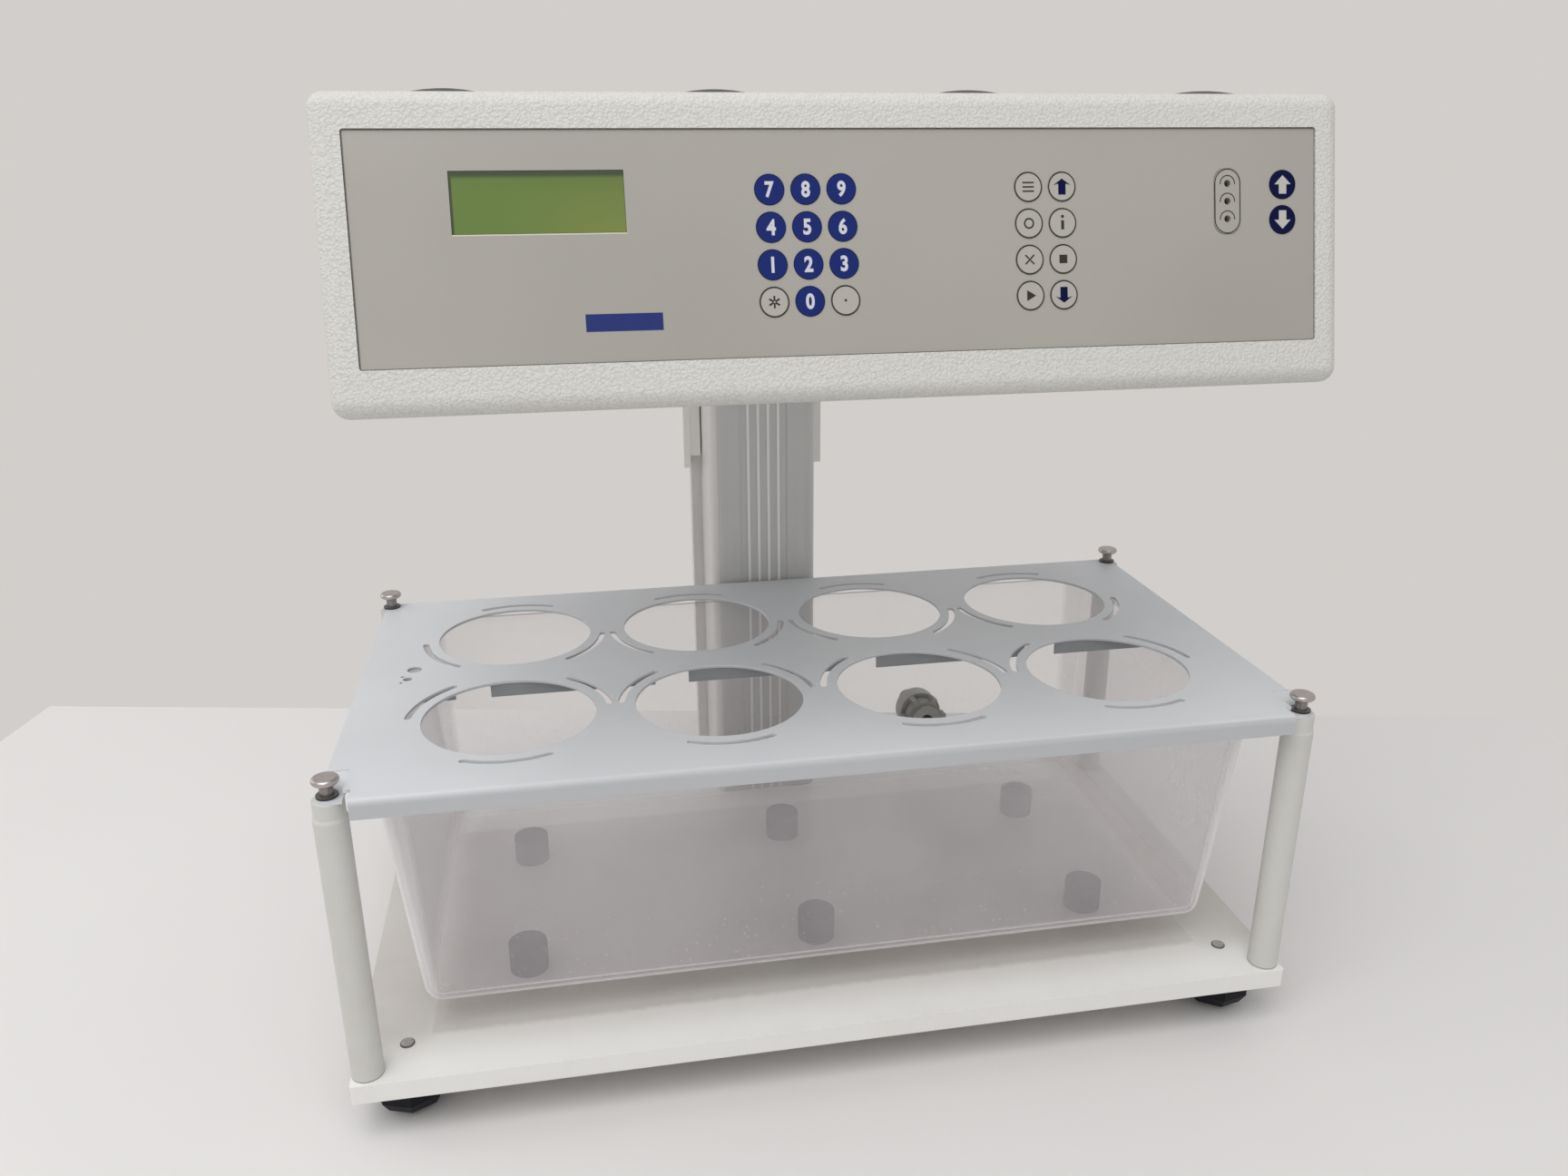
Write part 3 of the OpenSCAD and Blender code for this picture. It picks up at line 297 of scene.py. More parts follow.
def foot_and_stud(name):
    """Black moulded foot; from the base plate upwards its turned steel stud with a dark, dirty border."""
    f = Finish(f"{name}_finish")
    centre = sum(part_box(name), Vector()) / 2
    here = f.place(centre=centre)
    x, y, z = f.axes(here)
    grain = f.noise(here, 900.0, 2.0)
    rubbed = f.noise(here, 60.0, 4.0, 0.6).rise(0.4, 0.8)
    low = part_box("base_plate")[0].z - centre.z
    stud = z.rise(low, low + 0.5 * MM)
    border = ((x * x + y * y) ** 0.5).rise(3.6 * MM, 4.2 * MM)
    tint = f.mix(rubbed * 0.5, ink(2, 4, 15), ink(14, 18, 34))
    steel = f.mix(grain.rise(0.35, 0.65), ink(150, 148, 146), ink(186, 184, 182))
    tint = f.mix(stud, tint, f.mix(border * 0.8, steel, ink(70, 68, 66)))
    return f.shade(Base_Color=tint, Metallic=stud * 0.5, Roughness=0.42 + grain * 0.14, Specular_IOR_Level=0.2,
                   Normal=f.bump(grain, 0.00005, 0.6))


def turned_steel(name, top=None):
    """Turned stainless steel with fine level rings and a few stains.

    For a thumb screw whose crown is at top, the neck under its knob is darker, over a washer of black rubber.
    """
    f = Finish(name)
    here = f.place()
    rings = f.noise(f.place(scale=(30, 30, 2400)), 1.0, 2.0)
    stains = f.noise(here, 300.0, 4.0, 0.6).rise(0.45, 0.8)
    tint = f.mix(stains * 0.5, ink(190, 184, 182), ink(142, 135, 131))
    tint = f.mix(rings * 0.2, tint, ink(112, 107, 104))
    metal, rough = 0.9, 0.3 + stains * 0.15
    if top is not None:
        down, knob, washer = top - f.axes(here)[2], 2.6 * MM, 10.7 * MM
        steel = down.rise(washer + 0.2 * MM, washer)
        tint = f.mix(down.rise(knob, knob + 2 * MM) * 0.6, tint, ink(104, 99, 96))
        tint = f.mix(steel, ink(44, 43, 44), tint)
        metal, rough = steel * 0.9, 0.62 - steel * (0.32 - stains * 0.15)
    return f.shade(Base_Color=tint, Metallic=metal, Roughness=rough, Normal=f.bump(rings, 0.00003, 0.5))


def moulded(name, colour, worn, rough):
    """Moulded plastic or rubber: fine spark-eroded grain, paler rubbed clouds."""
    f = Finish(name)
    here = f.place()
    grain = f.noise(here, 900.0, 2.0)
    rubbed = f.noise(here, 60.0, 4.0, 0.6)
    tint = f.mix(rubbed.rise(0.4, 0.8) * 0.6, colour, worn)
    return f.shade(Base_Color=tint, Roughness=rough + grain * 0.14 + rubbed * 0.08,
                   Normal=f.bump(grain, 0.00005, 0.6))


def points(mesh):
    """Corners of a mesh as an array."""
    found = np.empty(3 * len(mesh.vertices))
    mesh.vertices.foreach_get("co", found)
    return found.reshape(-1, 3)


def widest_face(node):
    """Outward direction of the largest triangle of a CAD node that looks to the front."""
    faces = nodes[node].data.polygons
    area, normal = np.empty(len(faces)), np.empty(3 * len(faces))
    faces.foreach_get("area", area)
    faces.foreach_get("normal", normal)
    normal = normal.reshape(-1, 3)
    return normal[np.argmax(np.where(normal[:, 1] < -0.5, area, 0))]


# The panel's own axes: across, up its slope and straight out of it, from the middle of its lower edge
OUT = widest_face("control_panel")
UP = np.cross(OUT, (1, 0, 0))
panel = points(nodes["control_panel"].data)
FACE, LOW = (panel @ OUT).max(), (panel @ UP).min()
PANEL_W = np.ptp(panel[:, 0])
MIDDLE = panel[:, 0].min() + PANEL_W / 2
PANEL_H = (panel @ UP).max() - LOW
SLOPE = math.atan2(OUT[2], -OUT[1])


def on_panel(flat, height):
    """Points (x, v) of the panel's plane in metres, lifted by a height above its face, in the object's frame."""
    flat = np.asarray(flat)
    return flat[:, :1] * (1, 0, 0) + (LOW + flat[:, 1:]) * UP + (FACE + height) * OUT


def crown(node):
    """Lower left and upper right of a node's foremost face, as points (x, v), and its height above the panel's face."""
    own = points(nodes[node].data)
    out = own @ OUT
    face = own[out > out.max() - 0.01 * MM]
    flat = np.column_stack([face[:, 0], face @ UP - LOW])
    return flat.min(0), flat.max(0), out.max() - FACE


def panel_axes(f):
    """Sockets that measure across the panel and up its slope, in metres, for a finish that is printed on it."""
    here = f.place(centre=(MIDDLE, *(LOW * UP + FACE * OUT)[1:]), turn=(SLOPE, 0, 0))
    x, _, v = f.axes(here)
    return x, v


def panel_foil():
    """Warm grey matt foil: fine grain, slow clouds, and a painted shadow line of its recess round the border."""
    f = Finish("panel_foil")
    x, v = panel_axes(f)
    here = f.place()
    grain = f.noise(here, 2600.0, 1.0)
    clouds = f.noise(here, 6.0, 2.0)
    # Painted shadow of the recess: a dark line round the border, half as wide on the right and at the bottom
    edge = (x + PANEL_W / 2).least(PANEL_H - v).least((PANEL_W / 2 - x).least(v) * 2)
    colour = f.mix(clouds.rise(0.3, 0.7), ink(159, 156, 149), ink(166, 163, 156))
    colour = f.mix(grain.rise(0.5, 0.8) * 0.2, colour, ink(146, 143, 136))
    colour = f.mix(edge.rise(0.75 * MM, 0.4 * MM) * 0.8, colour, ink(84, 80, 72))
    return f.shade(Base_Color=colour, Roughness=0.36 + grain * 0.12, Normal=f.bump(grain, 0.00002, 0.5))


def display_window():
    """Unlit green display: painted shade under its upper and left edges, yellower to the lower right, fine pixel rows.
    """
    f = Finish("display_window")
    x, v = panel_axes(f)
    low, high, _ = crown("display")
    wide, tall = high - low
    across, up = (x - (low[0] - MIDDLE)) / wide, (v - low[1]) / tall
    row_pitch = 1.1 * MM
    rows = f.node("Math", {"operation": "SINE"}, {0: v * (2 * math.pi / row_pitch)})
    colour = f.mix(across.rise(0.2, 1.0) * (1 - up), ink(97, 121, 57), ink(115, 128, 60))
    # Painted shade in a band under the upper edge
    colour = f.mix(up.rise(0.55, 1.0) * 0.35, colour, ink(88, 110, 54))
    # Painted shadow lines of the recess along the upper and left edges
    colour = f.mix(up.rise(0.86, 0.95).most(across.rise(0.018, 0.008)), colour, ink(60, 72, 50))
    colour = f.mix(rows.rise(0.4, 1.0) * 0.06, colour, ink(60, 76, 44))
    return f.shade(Base_Color=colour, Roughness=0.16 + f.noise(f.place(), 300.0) * 0.05, Coat_Weight=0.1,
                   Specular_IOR_Level=0.3)


def printed(name, colour, worn, rough=0.4):
    """Screen-printed ink: tiny pinholes and a faintly uneven gloss."""
    f = Finish(name)
    here = f.place()
    pores = f.noise(here, 3000.0, 2.0)
    clouds = f.noise(here, 130.0, 2.0)
    tint = f.mix(pores.rise(0.55, 0.8) * 0.35 + clouds * 0.15, colour, worn)
    return f.shade(Base_Color=tint, Roughness=rough + pores * 0.12, Specular_IOR_Level=0.12,
                   Normal=f.bump(pores, 0.00001, 0.5))


def dress(finish, *names):
    """Gives CAD nodes their finish."""
    for name in names:
        for slot in nodes[name].material_slots:
            slot.material = finish


def piece(name, body, slot, *parts, soft=0):
    """One mesh object from parts (points, faces, finish) that rides on a body; its first soft faces shade smoothly."""
    mesh = bpy.data.meshes.new(name)
    starts = np.cumsum([0] + [len(p) for p, _, _ in parts])
    faces = [[int(i) + int(s) for i in face] for (_, fs, _), s in zip(parts, starts) for face in fs]
    mesh.from_pydata(np.vstack([p for p, _, _ in parts]).tolist(), [], faces)
    for _, _, finish in parts:
        if finish.name not in mesh.materials:
            mesh.materials.append(finish)
    index = [mesh.materials.find(m.name) for _, fs, m in parts for _ in fs]
    mesh.polygons.foreach_set("material_index", index)
    mesh.polygons.foreach_set("use_smooth", np.arange(len(faces)) < soft)
    mesh.update()
    made = bpy.data.objects.new(name, mesh)
    scene.collection.objects.link(made)
    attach(made, body)
    return made


def round_path(radius, centre, start=0.0, end=360.0, count=48):
    """Points on an arc: centre + radius * (cos a, sin a) for angles from start to end, in degrees."""
    a = np.radians(np.linspace(start, end, count, endpoint=abs(end - start) < 360))
    return np.array(centre) + radius * np.column_stack([np.cos(a), np.sin(a)])


def box_path(low, high):
    """Outline of a rectangle from its lower left to its upper right corner, anticlockwise."""
    return np.array([low, (high[0], low[1]), high, (low[0], high[1])])


def capsule_path(width, length, centre):
    """Outline of an upright bar with half-round ends."""
    off, count = (length - width) / 2, 17
    return np.vstack([round_path(width / 2, (centre[0], centre[1] + off), 0, 180, count),
                      round_path(width / 2, (centre[0], centre[1] - off), 180, 360.0 - 1e-6, count)])


def corner_path(half, radius, count=11):
    """Rounded rectangle about the origin, anticlockwise: four quarter arcs about its inner corners."""
    a = np.radians(np.linspace(0, 90, count) + np.arange(0, 360, 90)[:, None])
    side = np.array([(1, 1), (-1, 1), (-1, -1), (1, -1)])[:, None] * (np.asarray(half) - radius)
    return (side + radius * np.stack([np.cos(a), np.sin(a)], -1)).reshape(-1, 2)


def wrap(rows, turn):
    """Faces between the rows of a grid, each row closed on itself after turn points."""
    row, here = np.meshgrid(np.arange(rows - 1) * turn, np.arange(turn), indexing="ij")
    ahead = (here + 1) % turn
    return np.stack([row + here, row + ahead, row + turn + ahead, row + turn + here], -1).reshape(-1, 4)


def stack(rows, finish):
    """A closed solid from rows of points, first to last, turning anticlockwise as seen from the last one."""
    count, turn = rows.shape[:2]
    ends = [np.arange(turn)[::-1].tolist(), np.arange((count - 1) * turn, count * turn).tolist()]
    return rows.reshape(-1, 3), wrap(count, turn).tolist() + ends, finish


def turned(profile, sides, centre, finish, start=0.0):
    """A solid with so many sides: points (radius, height) in millimetres carried round an upright axis."""
    a = math.radians(start) + np.arange(sides) * 2 * math.pi / sides
    radius, height = np.array(profile).T * MM
    ring = np.stack([np.cos(a), np.sin(a)], -1)
    flat = np.array(centre[:2]) + radius[:, None, None] * ring
    return stack(np.concatenate([flat, np.broadcast_to(height[:, None, None], (len(height), sides, 1))], -1), finish)


def leveling_foot(name, start):
    """Foot in place of its plain solid: a small round sole, an eight-sided body that flares upwards, and the stud.

    Start is the angle in degrees at which it stands. Profiles are points (radius, height) in millimetres.
    """
    finish = foot_and_stud(name)
    low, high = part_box(name)
    centre, top = (low + high) / 2, high.z / MM
    sole = [(9.2, 0), (10, 0.8), (10, 7)]
    body = [(19.3, 5.5), (20.2, 6.1), (24.5, 13.7), (24.5, 29.3), (24.1, 29.7)]
    stud = [(4.5, 15), (4.5, top - 0.4), (4.1, top)]
    made = piece(f"{name}_body", name, "black_plastic", turned(sole, 32, centre, finish),
                 turned(body, 8, centre, finish, start), turned(stud, 32, centre, finish))
    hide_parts(name)


def tub_shell(finish):
    """The tub, from the middle of its underside over the rim to the middle of its floor.

    A profile of half-lengths, corner radius and height: a round lower edge, the leaning wall with rows close to
    its ends, a rim with broken edges, and the same inside, one wall's thickness away. Each row of it is drawn as a
    rounded rectangle.
    """
    low, high = (np.array(corner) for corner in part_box("water_bath"))
    wall, reach, blunt = 3 * MM, 3 * MM, 0.5 * MM
    edge_r, corner_r = 13 * MM, 20 * MM
    lean = np.array([12, 16]) * MM
    top = (high - low)[:2] / 2 - reach
    bottom = top - lean

    def lower_edge(inset, radius):
        a = np.radians(np.linspace(-90, -5, 10))
        half = bottom - inset - radius + radius * np.cos(a)[:, None]
        return np.column_stack([half, np.maximum(radius * np.cos(a), blunt), low[2] + inset + radius * (1 + np.sin(a))])

    rim, under = high[2], high[2] - wall
    upper = [(0, under), (reach - blunt, under), (reach, under + blunt), (reach, rim - blunt),
             (reach - blunt, rim), (blunt - wall, rim), (-wall, rim - blunt)]
    upper = np.array([(*(top + out), corner_r + out, z) for out, z in upper])
    outside, inside = lower_edge(0, edge_r), lower_edge(wall, edge_r - wall)
    guard = np.array([[0.02], [0.5], [0.98]])
    profile = np.vstack([outside, outside[-1] + guard * (upper[0] - outside[-1]), upper,
                         upper[-1] + guard * (inside[-1] - upper[-1]), inside[::-1]])
    paths = np.stack([corner_path((x, y), radius) for x, y, radius, _ in profile]) + ((low + high) / 2)[:2]
    count, turn = paths.shape[:2]
    rows = np.concatenate([paths, np.broadcast_to(profile[:, 3:, None], (count, turn, 1))], -1)
    made = piece("tub", "stand", "clear_bath", stack(rows, finish), soft=turn * (count - 1))
    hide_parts("water_bath")


def head_skin(finish):
    """The housing's skin: a side profile with round corners, carried across and narrowed to ball corners at both ends.

    At an angle a round the profile and b along it, a point is an inner corner plus radius * sin b across and
    radius * cos b along the profile's normal at a. The front is open round the panel and the underside round the
    floor plate, each with a deep pocket behind its border.
    """
    low, high = (np.array(corner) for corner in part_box("head_shell"))
    r, guard, panel_sunk, panel_gap, panel_r, floor_lip = (v * MM for v in (8, 1, 1, 0.2, 1.5, 14))
    panel_pocket, floor_pocket = 30 * MM, 50 * MM
    front, steps = FACE + panel_sunk, 9

    def meet(z, plane):
        return (plane - z * OUT[2]) / OUT[1], z

    inner = np.array([meet(low[2] + r, front - r), meet(high[2] - r, front - r),
                      (high[1] - r, high[2] - r), (high[1] - r, low[2] + r)])
    lean = 180 - math.degrees(SLOPE)
    base, normal = [], []
    for k, (start, end) in enumerate([(270, lean), (lean, 90), (90, 0), (0, -90)]):
        a = np.radians(np.append(np.linspace(start, end, steps), [end, end]))
        along = inner[(k + 1) % 4] - inner[k]
        step = guard * along / np.linalg.norm(along)
        base.append(inner[k] + np.vstack([np.zeros((steps, 2)), step, along - step]))
        normal.append(np.column_stack([np.cos(a), np.sin(a)]))
    b = np.radians(np.append(np.linspace(-89, 0, steps), 0))
    b = np.append(b, -b[::-1])
    half = (high[0] - low[0]) / 2 - r
    across = np.concatenate([np.full(steps, -half), [guard - half, half - guard], np.full(steps, half)])
    x = (low[0] + high[0]) / 2 + across + r * np.sin(b)
    flat = np.vstack(base) + r * np.cos(b)[:, None, None] * np.vstack(normal)
    grid = np.concatenate([np.broadcast_to(x[:, None, None], (*flat.shape[:2], 1)), flat], -1)
    rows, turn = grid.shape[:2]
    index = np.arange(rows * turn).reshape(rows, turn)
    panel_side, floor_side = steps, turn - 2
    skin = np.delete(wrap(rows, turn)[:, ::-1], [steps * turn + panel_side, steps * turn + floor_side], 0).tolist()
    solid = [grid.reshape(-1, 3)]

    def pocket(side, border, depth):
        """A flat border from a side's four corners in to an opening's outline, then its pocket's walls and end."""
        corners = index[[steps + 1, steps, steps, steps + 1], [side + 1, side + 1, side, side]]
        n = len(border)
        first = sum(map(len, solid)) + np.arange(n)
        after, each = np.roll(first, -1), n // 4
        solid.append(np.vstack([border, border + depth]))
        fan = np.column_stack([np.repeat(corners, each), after, first]).reshape(4, each, 3)[:, :-1].reshape(-1, 3)
        sides = np.column_stack([corners, np.roll(corners, -1), np.roll(first[::each], -1), first[each - 1::each]])
        walls = np.column_stack([first, after, after + n, first + n])
        return [*fan.tolist(), *sides.tolist(), *walls.tolist(), (first + n).tolist()]

    opening = corner_path((PANEL_W / 2 + panel_gap, PANEL_H / 2 + panel_gap), panel_r, 6) + (MIDDLE, PANEL_H / 2)
    faces = skin + [index[0].tolist(), index[-1][::-1].tolist()]
    faces += pocket(panel_side, on_panel(opening, panel_sunk), -panel_pocket * OUT)
    foot = meet(low[2], front)[0]
    lip = corner_path((half + r - floor_lip, (high[1] - foot) / 2 - floor_lip), r, 6) * (1, -1)
    lip = np.column_stack([lip + ((low[0] + high[0]) / 2, (high[1] + foot) / 2), np.full(len(lip), low[2])])
    faces += pocket(floor_side, lip, np.array([0, 0, floor_pocket]))
    made = piece("head_skin", "head", "head_paint", (np.vstack(solid), faces, finish), soft=len(skin))
    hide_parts("head_shell")


def slab(outline, low, high, finish):
    """A flat printed shape: its outline at two heights over the panel, joined by a wall and closed at both ends."""
    return stack(np.stack([on_panel(outline, low), on_panel(outline, high)]), finish)


def band(outer, inner, low, high, finish):
    """A closed printed line: a four-cornered section carried round two outlines with equal counts.

    Its faces are those of a grid of five rows, of which the last is the first again.
    """
    n = len(outer)
    loops = np.vstack([on_panel(outer, low), on_panel(outer, high), on_panel(inner, high), on_panel(inner, low)])
    return loops, (wrap(5, n) % (4 * n)).tolist(), finish


def stroke(path, width, low, high, finish):
    """A printed stroke: an open path given a width to both sides along its own normals."""
    ahead = np.gradient(path, axis=0)
    side = np.column_stack([-ahead[:, 1], ahead[:, 0]]) / np.linalg.norm(ahead, axis=1)[:, None]
    outline = np.vstack([path - side * width / 2, (path + side * width / 2)[::-1]])
    return slab(outline, low, high, finish)


def numeral(sign, height, centre, low, high, finish):
    """A numeral of Blender's own font, made heavier and narrower, as a thin closed mesh over the panel."""
    narrow, weight = 0.86, 0.035
    curve = bpy.data.curves.new(sign, "FONT")
    curve.body, curve.offset, curve.extrude, curve.resolution_u = sign, weight, 0.5, 6
    text = bpy.data.objects.new(sign, curve)
    scene.collection.objects.link(text)
    mesh = bpy.data.meshes.new_from_object(text.evaluated_get(bpy.context.evaluated_depsgraph_get()))
    found, faces = points(mesh), [list(face.vertices) for face in mesh.polygons]
    bpy.data.objects.remove(text)
    bpy.data.curves.remove(curve)
    bpy.data.meshes.remove(mesh)
    middle = (found.min(0) + found.max(0)) / 2
    scale = height / np.ptp(found[:, 1])
    flat = (found - middle)[:, :2] * (scale * narrow, scale) + centre
    lift = np.where(found[:, 2] > 0, high, low)
    return on_panel(flat, 0) + lift[:, None] * OUT, faces, finish


def arrow(width, height, shaft, head, barb, centre, up):
    """Outline of a block arrow, sizes in millimetres: its wings hang by barb below the top of its shaft."""
    w, h, s = width / 2, height / 2, shaft / 2
    flat = np.array([(-s, -h), (s, -h), (s, h - head + barb), (w, h - head), (0, h), (-w, h - head),
                     (-s, h - head + barb)])
    return centre + flat * MM * (1 if up else -1)


# Finishes
head_white = grained_paint()
# Paint of the posts, with a painted contact shade where they meet the base plate
frame_white = satin_paint("frame_paint", ink(204, 203, 199), ink(176, 170, 158), 0.2, seam=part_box("posts")[0].z)
# The base gets dust and a painted shadow of the tub under its floor and beside it
tub_low, tub_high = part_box("water_bath")
inset = Vector((16 * MM, 20 * MM, 0))
base_white = satin_paint("base_paint", ink(233, 232, 229), ink(178, 171, 164), 0.1,
                         shelter=(tub_low + inset, tub_high - inset))
# The carriage's paint is paler than the head's: painted light on the cheeks, which stand in the head's shade
carriage_lit_paint = satin_paint("carriage_paint", ink(246, 244, 241), ink(216, 210, 200), 0.3)
# The stiffener's grey is darker than the sheet's: painted shade under the plate
stiffener_shaded_paint = satin_paint("stiffener_paint", ink(136, 139, 142), ink(110, 111, 112), 0.3)
sheet_grey = sheet_paint()
tub_clear = clear_plastic()
rail = rail_metal()
plain_metal = bare_metal()
screw_steel = [turned_steel(f"{side}_screw_steel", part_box(screw)[1].z)
               for side, screw in (("front", "thumb_screw_1"), ("rear", "thumb_screw_3"))]
shaft_steel = turned_steel("shaft_steel")
foot_rubber = moulded("foot_rubber", ink(26, 26, 32), ink(48, 48, 54), 0.6)
belt_rubber = moulded("belt_rubber", ink(34, 34, 36), ink(56, 56, 58), 0.6)
black_plastic = moulded("black_plastic", ink(28, 29, 34), ink(52, 53, 58), 0.42)
dark_plastic = moulded("dark_plastic", ink(58, 58, 60), ink(84, 82, 80), 0.45)
grey_plastic = moulded("grey_plastic", ink(156, 156, 150), ink(180, 180, 173), 0.34)
foil = panel_foil()
window_green = display_window()
key_blue = printed("key_blue", ink(22, 39, 106), ink(34, 49, 116), 0.34)
key_navy = printed("key_navy", ink(2, 7, 58), ink(8, 14, 66), 0.4)
key_pale = printed("key_pale", ink(174, 171, 164), ink(162, 159, 152), 0.36)
strip_pale = printed("strip_pale", ink(166, 163, 156), ink(154, 151, 144), 0.36)
ink_blue = printed("ink_blue", ink(40, 52, 112), ink(54, 66, 122))
# Paints of the painted shade ring round the blue keys and round the lift keys
ink_rim = printed("ink_rim", ink(26, 32, 84), ink(38, 46, 98))
ink_navy = printed("ink_navy", ink(14, 16, 48), ink(28, 30, 66))
ink_light = printed("ink_light", ink(204, 205, 212), ink(186, 188, 198))
ink_foil = printed("ink_foil", ink(186, 183, 178), ink(172, 169, 163))
# Paint of the painted highlight under the display's cut-out
lit_edge_paint = printed("lit_edge_paint", ink(206, 204, 184), ink(190, 187, 170))
ink_dark = printed("ink_dark", ink(52, 48, 42), ink(78, 74, 68))

head_skin(head_white)
tub_shell(tub_clear)
for i, start in enumerate((4, -11, 15, 30), 1):
    leveling_foot(f"leveling_foot_{i}", start)
dress(carriage_lit_paint, "carriage")
dress(frame_white, "posts", "head_floor")
dress(base_white, "base_plate")
dress(sheet_grey, "vessel_plate")
dress(stiffener_shaded_paint, "plate_stiffener")
dress(foot_rubber, "bath_feet")
dress(grey_plastic, "bath_connector")
dress(rail, "column")
dress(dark_plastic, "column_cap", "top_plugs")
dress(black_plastic, "lift_motor", "drive_motor")
dress(shaft_steel, "lift_screw", "spindle_bearings", *[f"spindle_{i}" for i in range(1, 9)])
dress(plain_metal, "motor_pulley")
dress(belt_rubber, "drive_belt")
dress(screw_steel[0], "thumb_screw_1", "thumb_screw_2")
dress(screw_steel[1], "thumb_screw_3", "thumb_screw_4")
dress(foil, "control_panel")
dress(window_green, "display")
dress(strip_pale, "socket_strip")

# Prints on the keys, and a dark ring of painted shade round each key's edge: a thin layer on each key's own crown
LAYER = 0.06 * MM
for name in [n for n in nodes if n.startswith("key_")]:
    corner, far, top = crown(name)
    centre, radius = (corner + far) / 2, (far - corner)[0] / 2
    low, high = top - LAYER, top + LAYER
    tail = name.removeprefix("key_")
    lift = tail.startswith("lift")
    blue = lift or tail.isdigit()
    dress(key_navy if lift else key_blue if blue else key_pale, name)

    def bar(x0, v0, x1, v1, width=0.75):
        """A straight printed bar between two places in millimetres from the key's middle."""
        ends = centre + np.array([(x0, v0), (x1, v1)]) * MM
        return stroke(ends, width * MM, low, high, ink_dark)

    # A darker ring round each key's edge: painted shade of its raised rim
    rim, ring_shade = (0.35 * MM, ink_navy if lift else ink_rim) if blue else (0.6 * MM, ink_dark)
    marks = [band(round_path(radius, centre), round_path(radius - rim, centre), low, high, ring_shade)]
    if tail.isdigit():
        marks.append(numeral(tail, 7.7 * MM, centre, low, high, ink_light))
    elif lift:
        marks.append(slab(arrow(9.2, 9.4, 4.2, 4.6, 0, centre, tail == "lift_up"), low, high, ink_foil))
    elif tail in ("up", "down"):
        marks.append(slab(arrow(9.0, 7.9, 3.9, 3.2, 0.7, centre, tail == "up"), low, high, key_navy))
    elif tail == "dot":
        marks.append(slab(round_path(0.65 * MM, centre, count=20), low, high, ink_dark))
    elif tail == "info":
        marks += [slab(round_path(0.8 * MM, centre + (0, 3.2 * MM), count=20), low, high, ink_dark),
                  bar(0, -3.2, 0, 1.3, 1.5)]
    elif tail == "menu":
        marks += [bar(-3, v, 3, v) for v in (-2.1, 0, 2.1)]
    elif tail == "clear":
        marks += [bar(-2.3, -2.3, 2.3, 2.3), bar(-2.3, 2.3, -0.4, 0.4), bar(0.4, -0.4, 2.3, -2.3)]
    elif tail == "stop":
        marks.append(bar(-2.1, 0, 2.1, 0, 4.2))
    elif tail == "set":
        marks.append(band(round_path(2.7 * MM, centre), round_path(1.9 * MM, centre), low, high, ink_dark))
    elif tail == "start":
        marks.append(slab(centre + np.array([(-1.9, -2.7), (2.9, 0), (-1.9, 2.7)]) * MM, low, high, ink_dark))
    elif tail == "f":
        spokes = np.radians([90, 210, 330, 270, 30, 150])
        marks += [bar(0.5 * c, 0.5 * d, 3 * c, 3 * d, 0.9) for c, d in zip(np.cos(spokes), np.sin(spokes))]
    piece(f"{name}_print", name, "key_blue" if blue else "panel_foil", *marks)

# Prints on the panel: a plain bar, a painted highlight for the lit lower edge of the display's cut-out, and the
# sockets' lines
bar_low, bar_high = np.array([(-137.9, 14.6), (-101.0, 22.9)]) * MM + (MIDDLE, 0)
piece("panel_bar", "head", "key_blue", slab(box_path(bar_low, bar_high), -LAYER, LAYER, ink_blue))
glass_low, glass_high, _ = crown("display")
# A pale strip under the display's cut-out: a painted highlight of its lit lower edge
lip_low, lip_high, lip_end = 0.9 * MM, 0.25 * MM, 0.5 * MM
lip = box_path(glass_low - (0, lip_low), (glass_high[0] + lip_end, glass_low[1] - lip_high))
piece("display_lit_edge", "head", "panel_foil", slab(lip, -LAYER, LAYER, lit_edge_paint))
strip_low, strip_high, top = crown("socket_strip")
middle, size = (strip_low + strip_high) / 2, strip_high - strip_low
line, arc_radius, arc_pitch = 0.55 * MM, 4.0 * MM, 8.9 * MM
low, high = top - LAYER, top + LAYER
lines = [band(capsule_path(*size, middle), capsule_path(*(size - 2 * line), middle), low, high, ink_dark)]
lines += [stroke(round_path(arc_radius, middle + (0, k * arc_pitch), 185, -5, 25), 0.5 * MM, low, high, ink_dark)
          for k in (-1, 0, 1)]
piece("socket_lines", "head", "panel_foil", *lines)

# Camera: the photograph's place, measured from the middle of the vessel grid on the plate's top; angles in degrees
CAMERA_PLACE = Vector((-0.149932, -0.776081, 0.330463))
PAN, TILT, ROLL = -10.0904, -19.7206, -0.2804
grid = sum((sum(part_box(f"spindle_{i}"), Vector()) / 2 for i in range(1, 9)), Vector()) / 8
grid.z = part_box("vessel_plate")[1].z
lens = bpy.data.cameras.new("camera")
lens.sensor_fit, lens.sensor_width, lens.lens = "HORIZONTAL", 36.0, 27.8437
lens.clip_start, lens.clip_end = 0.01, 50.0
camera = bpy.data.objects.new("camera", lens)
camera.matrix_world = (Matrix.Translation(grid + CAMERA_PLACE)
                       @ Matrix.Rotation(math.radians(PAN), 4, "Z")
                       @ Matrix.Rotation(math.radians(90 + TILT), 4, "X")
                       @ Matrix.Rotation(math.radians(ROLL), 4, "Z"))
scene.collection.objects.link(camera)
scene.camera = camera


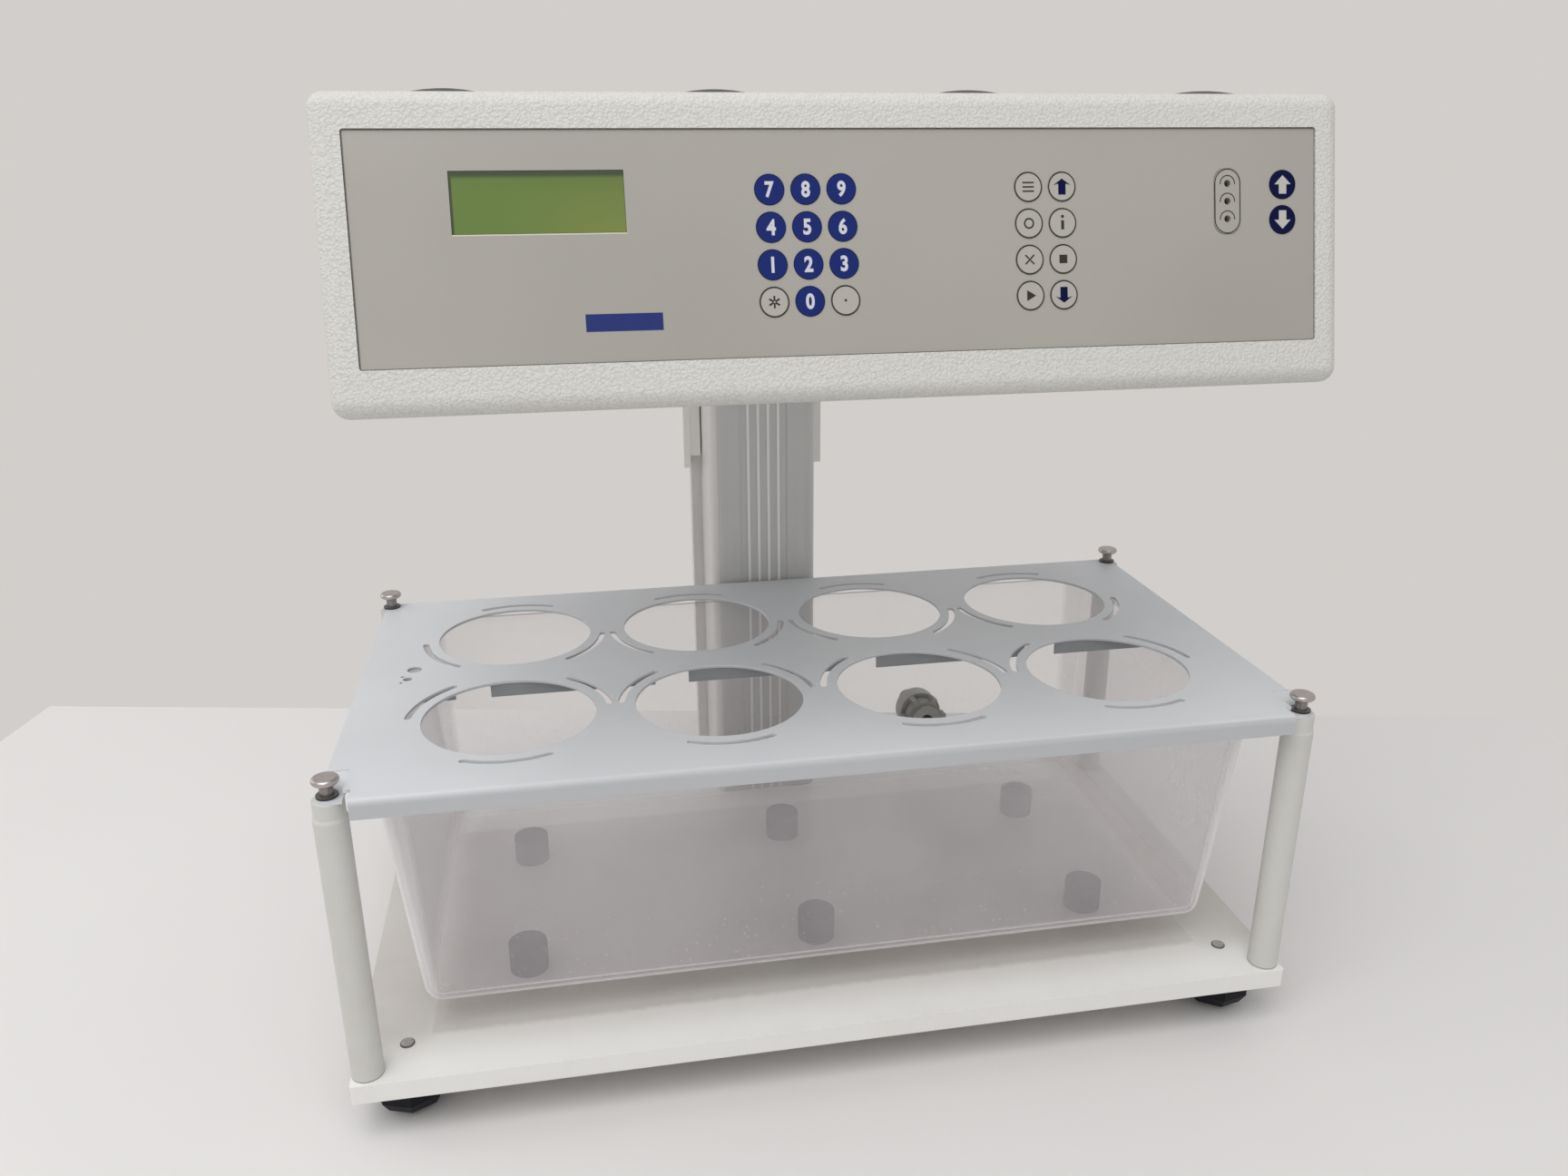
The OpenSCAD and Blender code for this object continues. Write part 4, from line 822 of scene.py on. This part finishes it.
def bench():
    """Pale laminate slab, turned a little against the object; its rear corners are the photograph's."""
    rear, depth, thickness = np.array([(-0.7334, 0.5294), (0.8405, 0.2032)]), 4.0, 0.04
    along = (rear[1] - rear[0]) / np.linalg.norm(rear[1] - rear[0])
    forward = depth * np.array([along[1], -along[0]])
    flat = np.array([rear[0], rear[0] + forward, rear[1] + forward, rear[1]])
    corners = np.vstack([np.column_stack([flat, np.full(4, z)]) for z in (-thickness, 0)])
    mesh = bpy.data.meshes.new("bench")
    mesh.from_pydata(corners.tolist(), [], [(3, 2, 1, 0), (4, 5, 6, 7)]
                     + [(i, (i + 1) % 4, (i + 1) % 4 + 4, i + 4) for i in range(4)])
    made = bpy.data.objects.new("bench", mesh)
    f = Finish("bench_laminate")
    clouds = f.noise(f.place(), 3.0, 2.0)
    mesh.materials.append(f.shade(Base_Color=f.mix(clouds, ink(221, 219, 218), ink(227, 225, 224)),
                                  Roughness=0.5 + clouds * 0.05))
    scene.collection.objects.link(made)


def lamp(name, place, aim, size, power):
    """A soft square lamp that looks at a point."""
    data = bpy.data.lights.new(name, "AREA")
    data.size, data.energy = size, power
    made = bpy.data.objects.new(name, data)
    made.location = place
    made.rotation_mode = "QUATERNION"
    made.rotation_quaternion = (Vector(aim) - Vector(place)).to_track_quat("-Z", "Y")
    scene.collection.objects.link(made)


def room(light, strength, wall_colour):
    """World: even light of a strength on the object, and a plain wall where it is seen, mirrored or looked through."""
    scene.world = bpy.data.worlds.new("room")
    scene.world.use_nodes = True
    tree = scene.world.node_tree
    ambient = tree.nodes["Background"]
    ambient.inputs["Color"].default_value, ambient.inputs["Strength"].default_value = light, strength
    wall = tree.nodes.new("ShaderNodeBackground")
    wall.inputs["Color"].default_value = wall_colour
    path = tree.nodes.new("ShaderNodeLightPath")
    seen = path.outputs["Is Camera Ray"]
    for other in ("Is Glossy Ray", "Is Transmission Ray"):
        either = tree.nodes.new("ShaderNodeMath")
        either.operation = "MAXIMUM"
        tree.links.new(seen, either.inputs[0])
        tree.links.new(path.outputs[other], either.inputs[1])
        seen = either.outputs[0]
    choice = tree.nodes.new("ShaderNodeMixShader")
    for socket, source in zip(choice.inputs, (seen, ambient.outputs[0], wall.outputs[0])):
        tree.links.new(source, socket)
    tree.links.new(choice.outputs[0], tree.nodes["World Output"].inputs[0])


bench()
lamp("ceiling_lamp", place=(-0.7, -1.1, 2.6), aim=(0, -0.1, 0.2), size=2.2, power=42.0)
lamp("window_lamp", place=(-0.7, -2.5, 1.7), aim=(0, 0, 0.3), size=2.0, power=5.0)
lamp("side_lamp", place=(-2.2, 1.0, 1.1), aim=(0, 0.1, 0.3), size=1.6, power=8.0)
room(light=(1.0, 0.99, 0.98, 1), strength=0.57, wall_colour=ink(210, 206, 203))
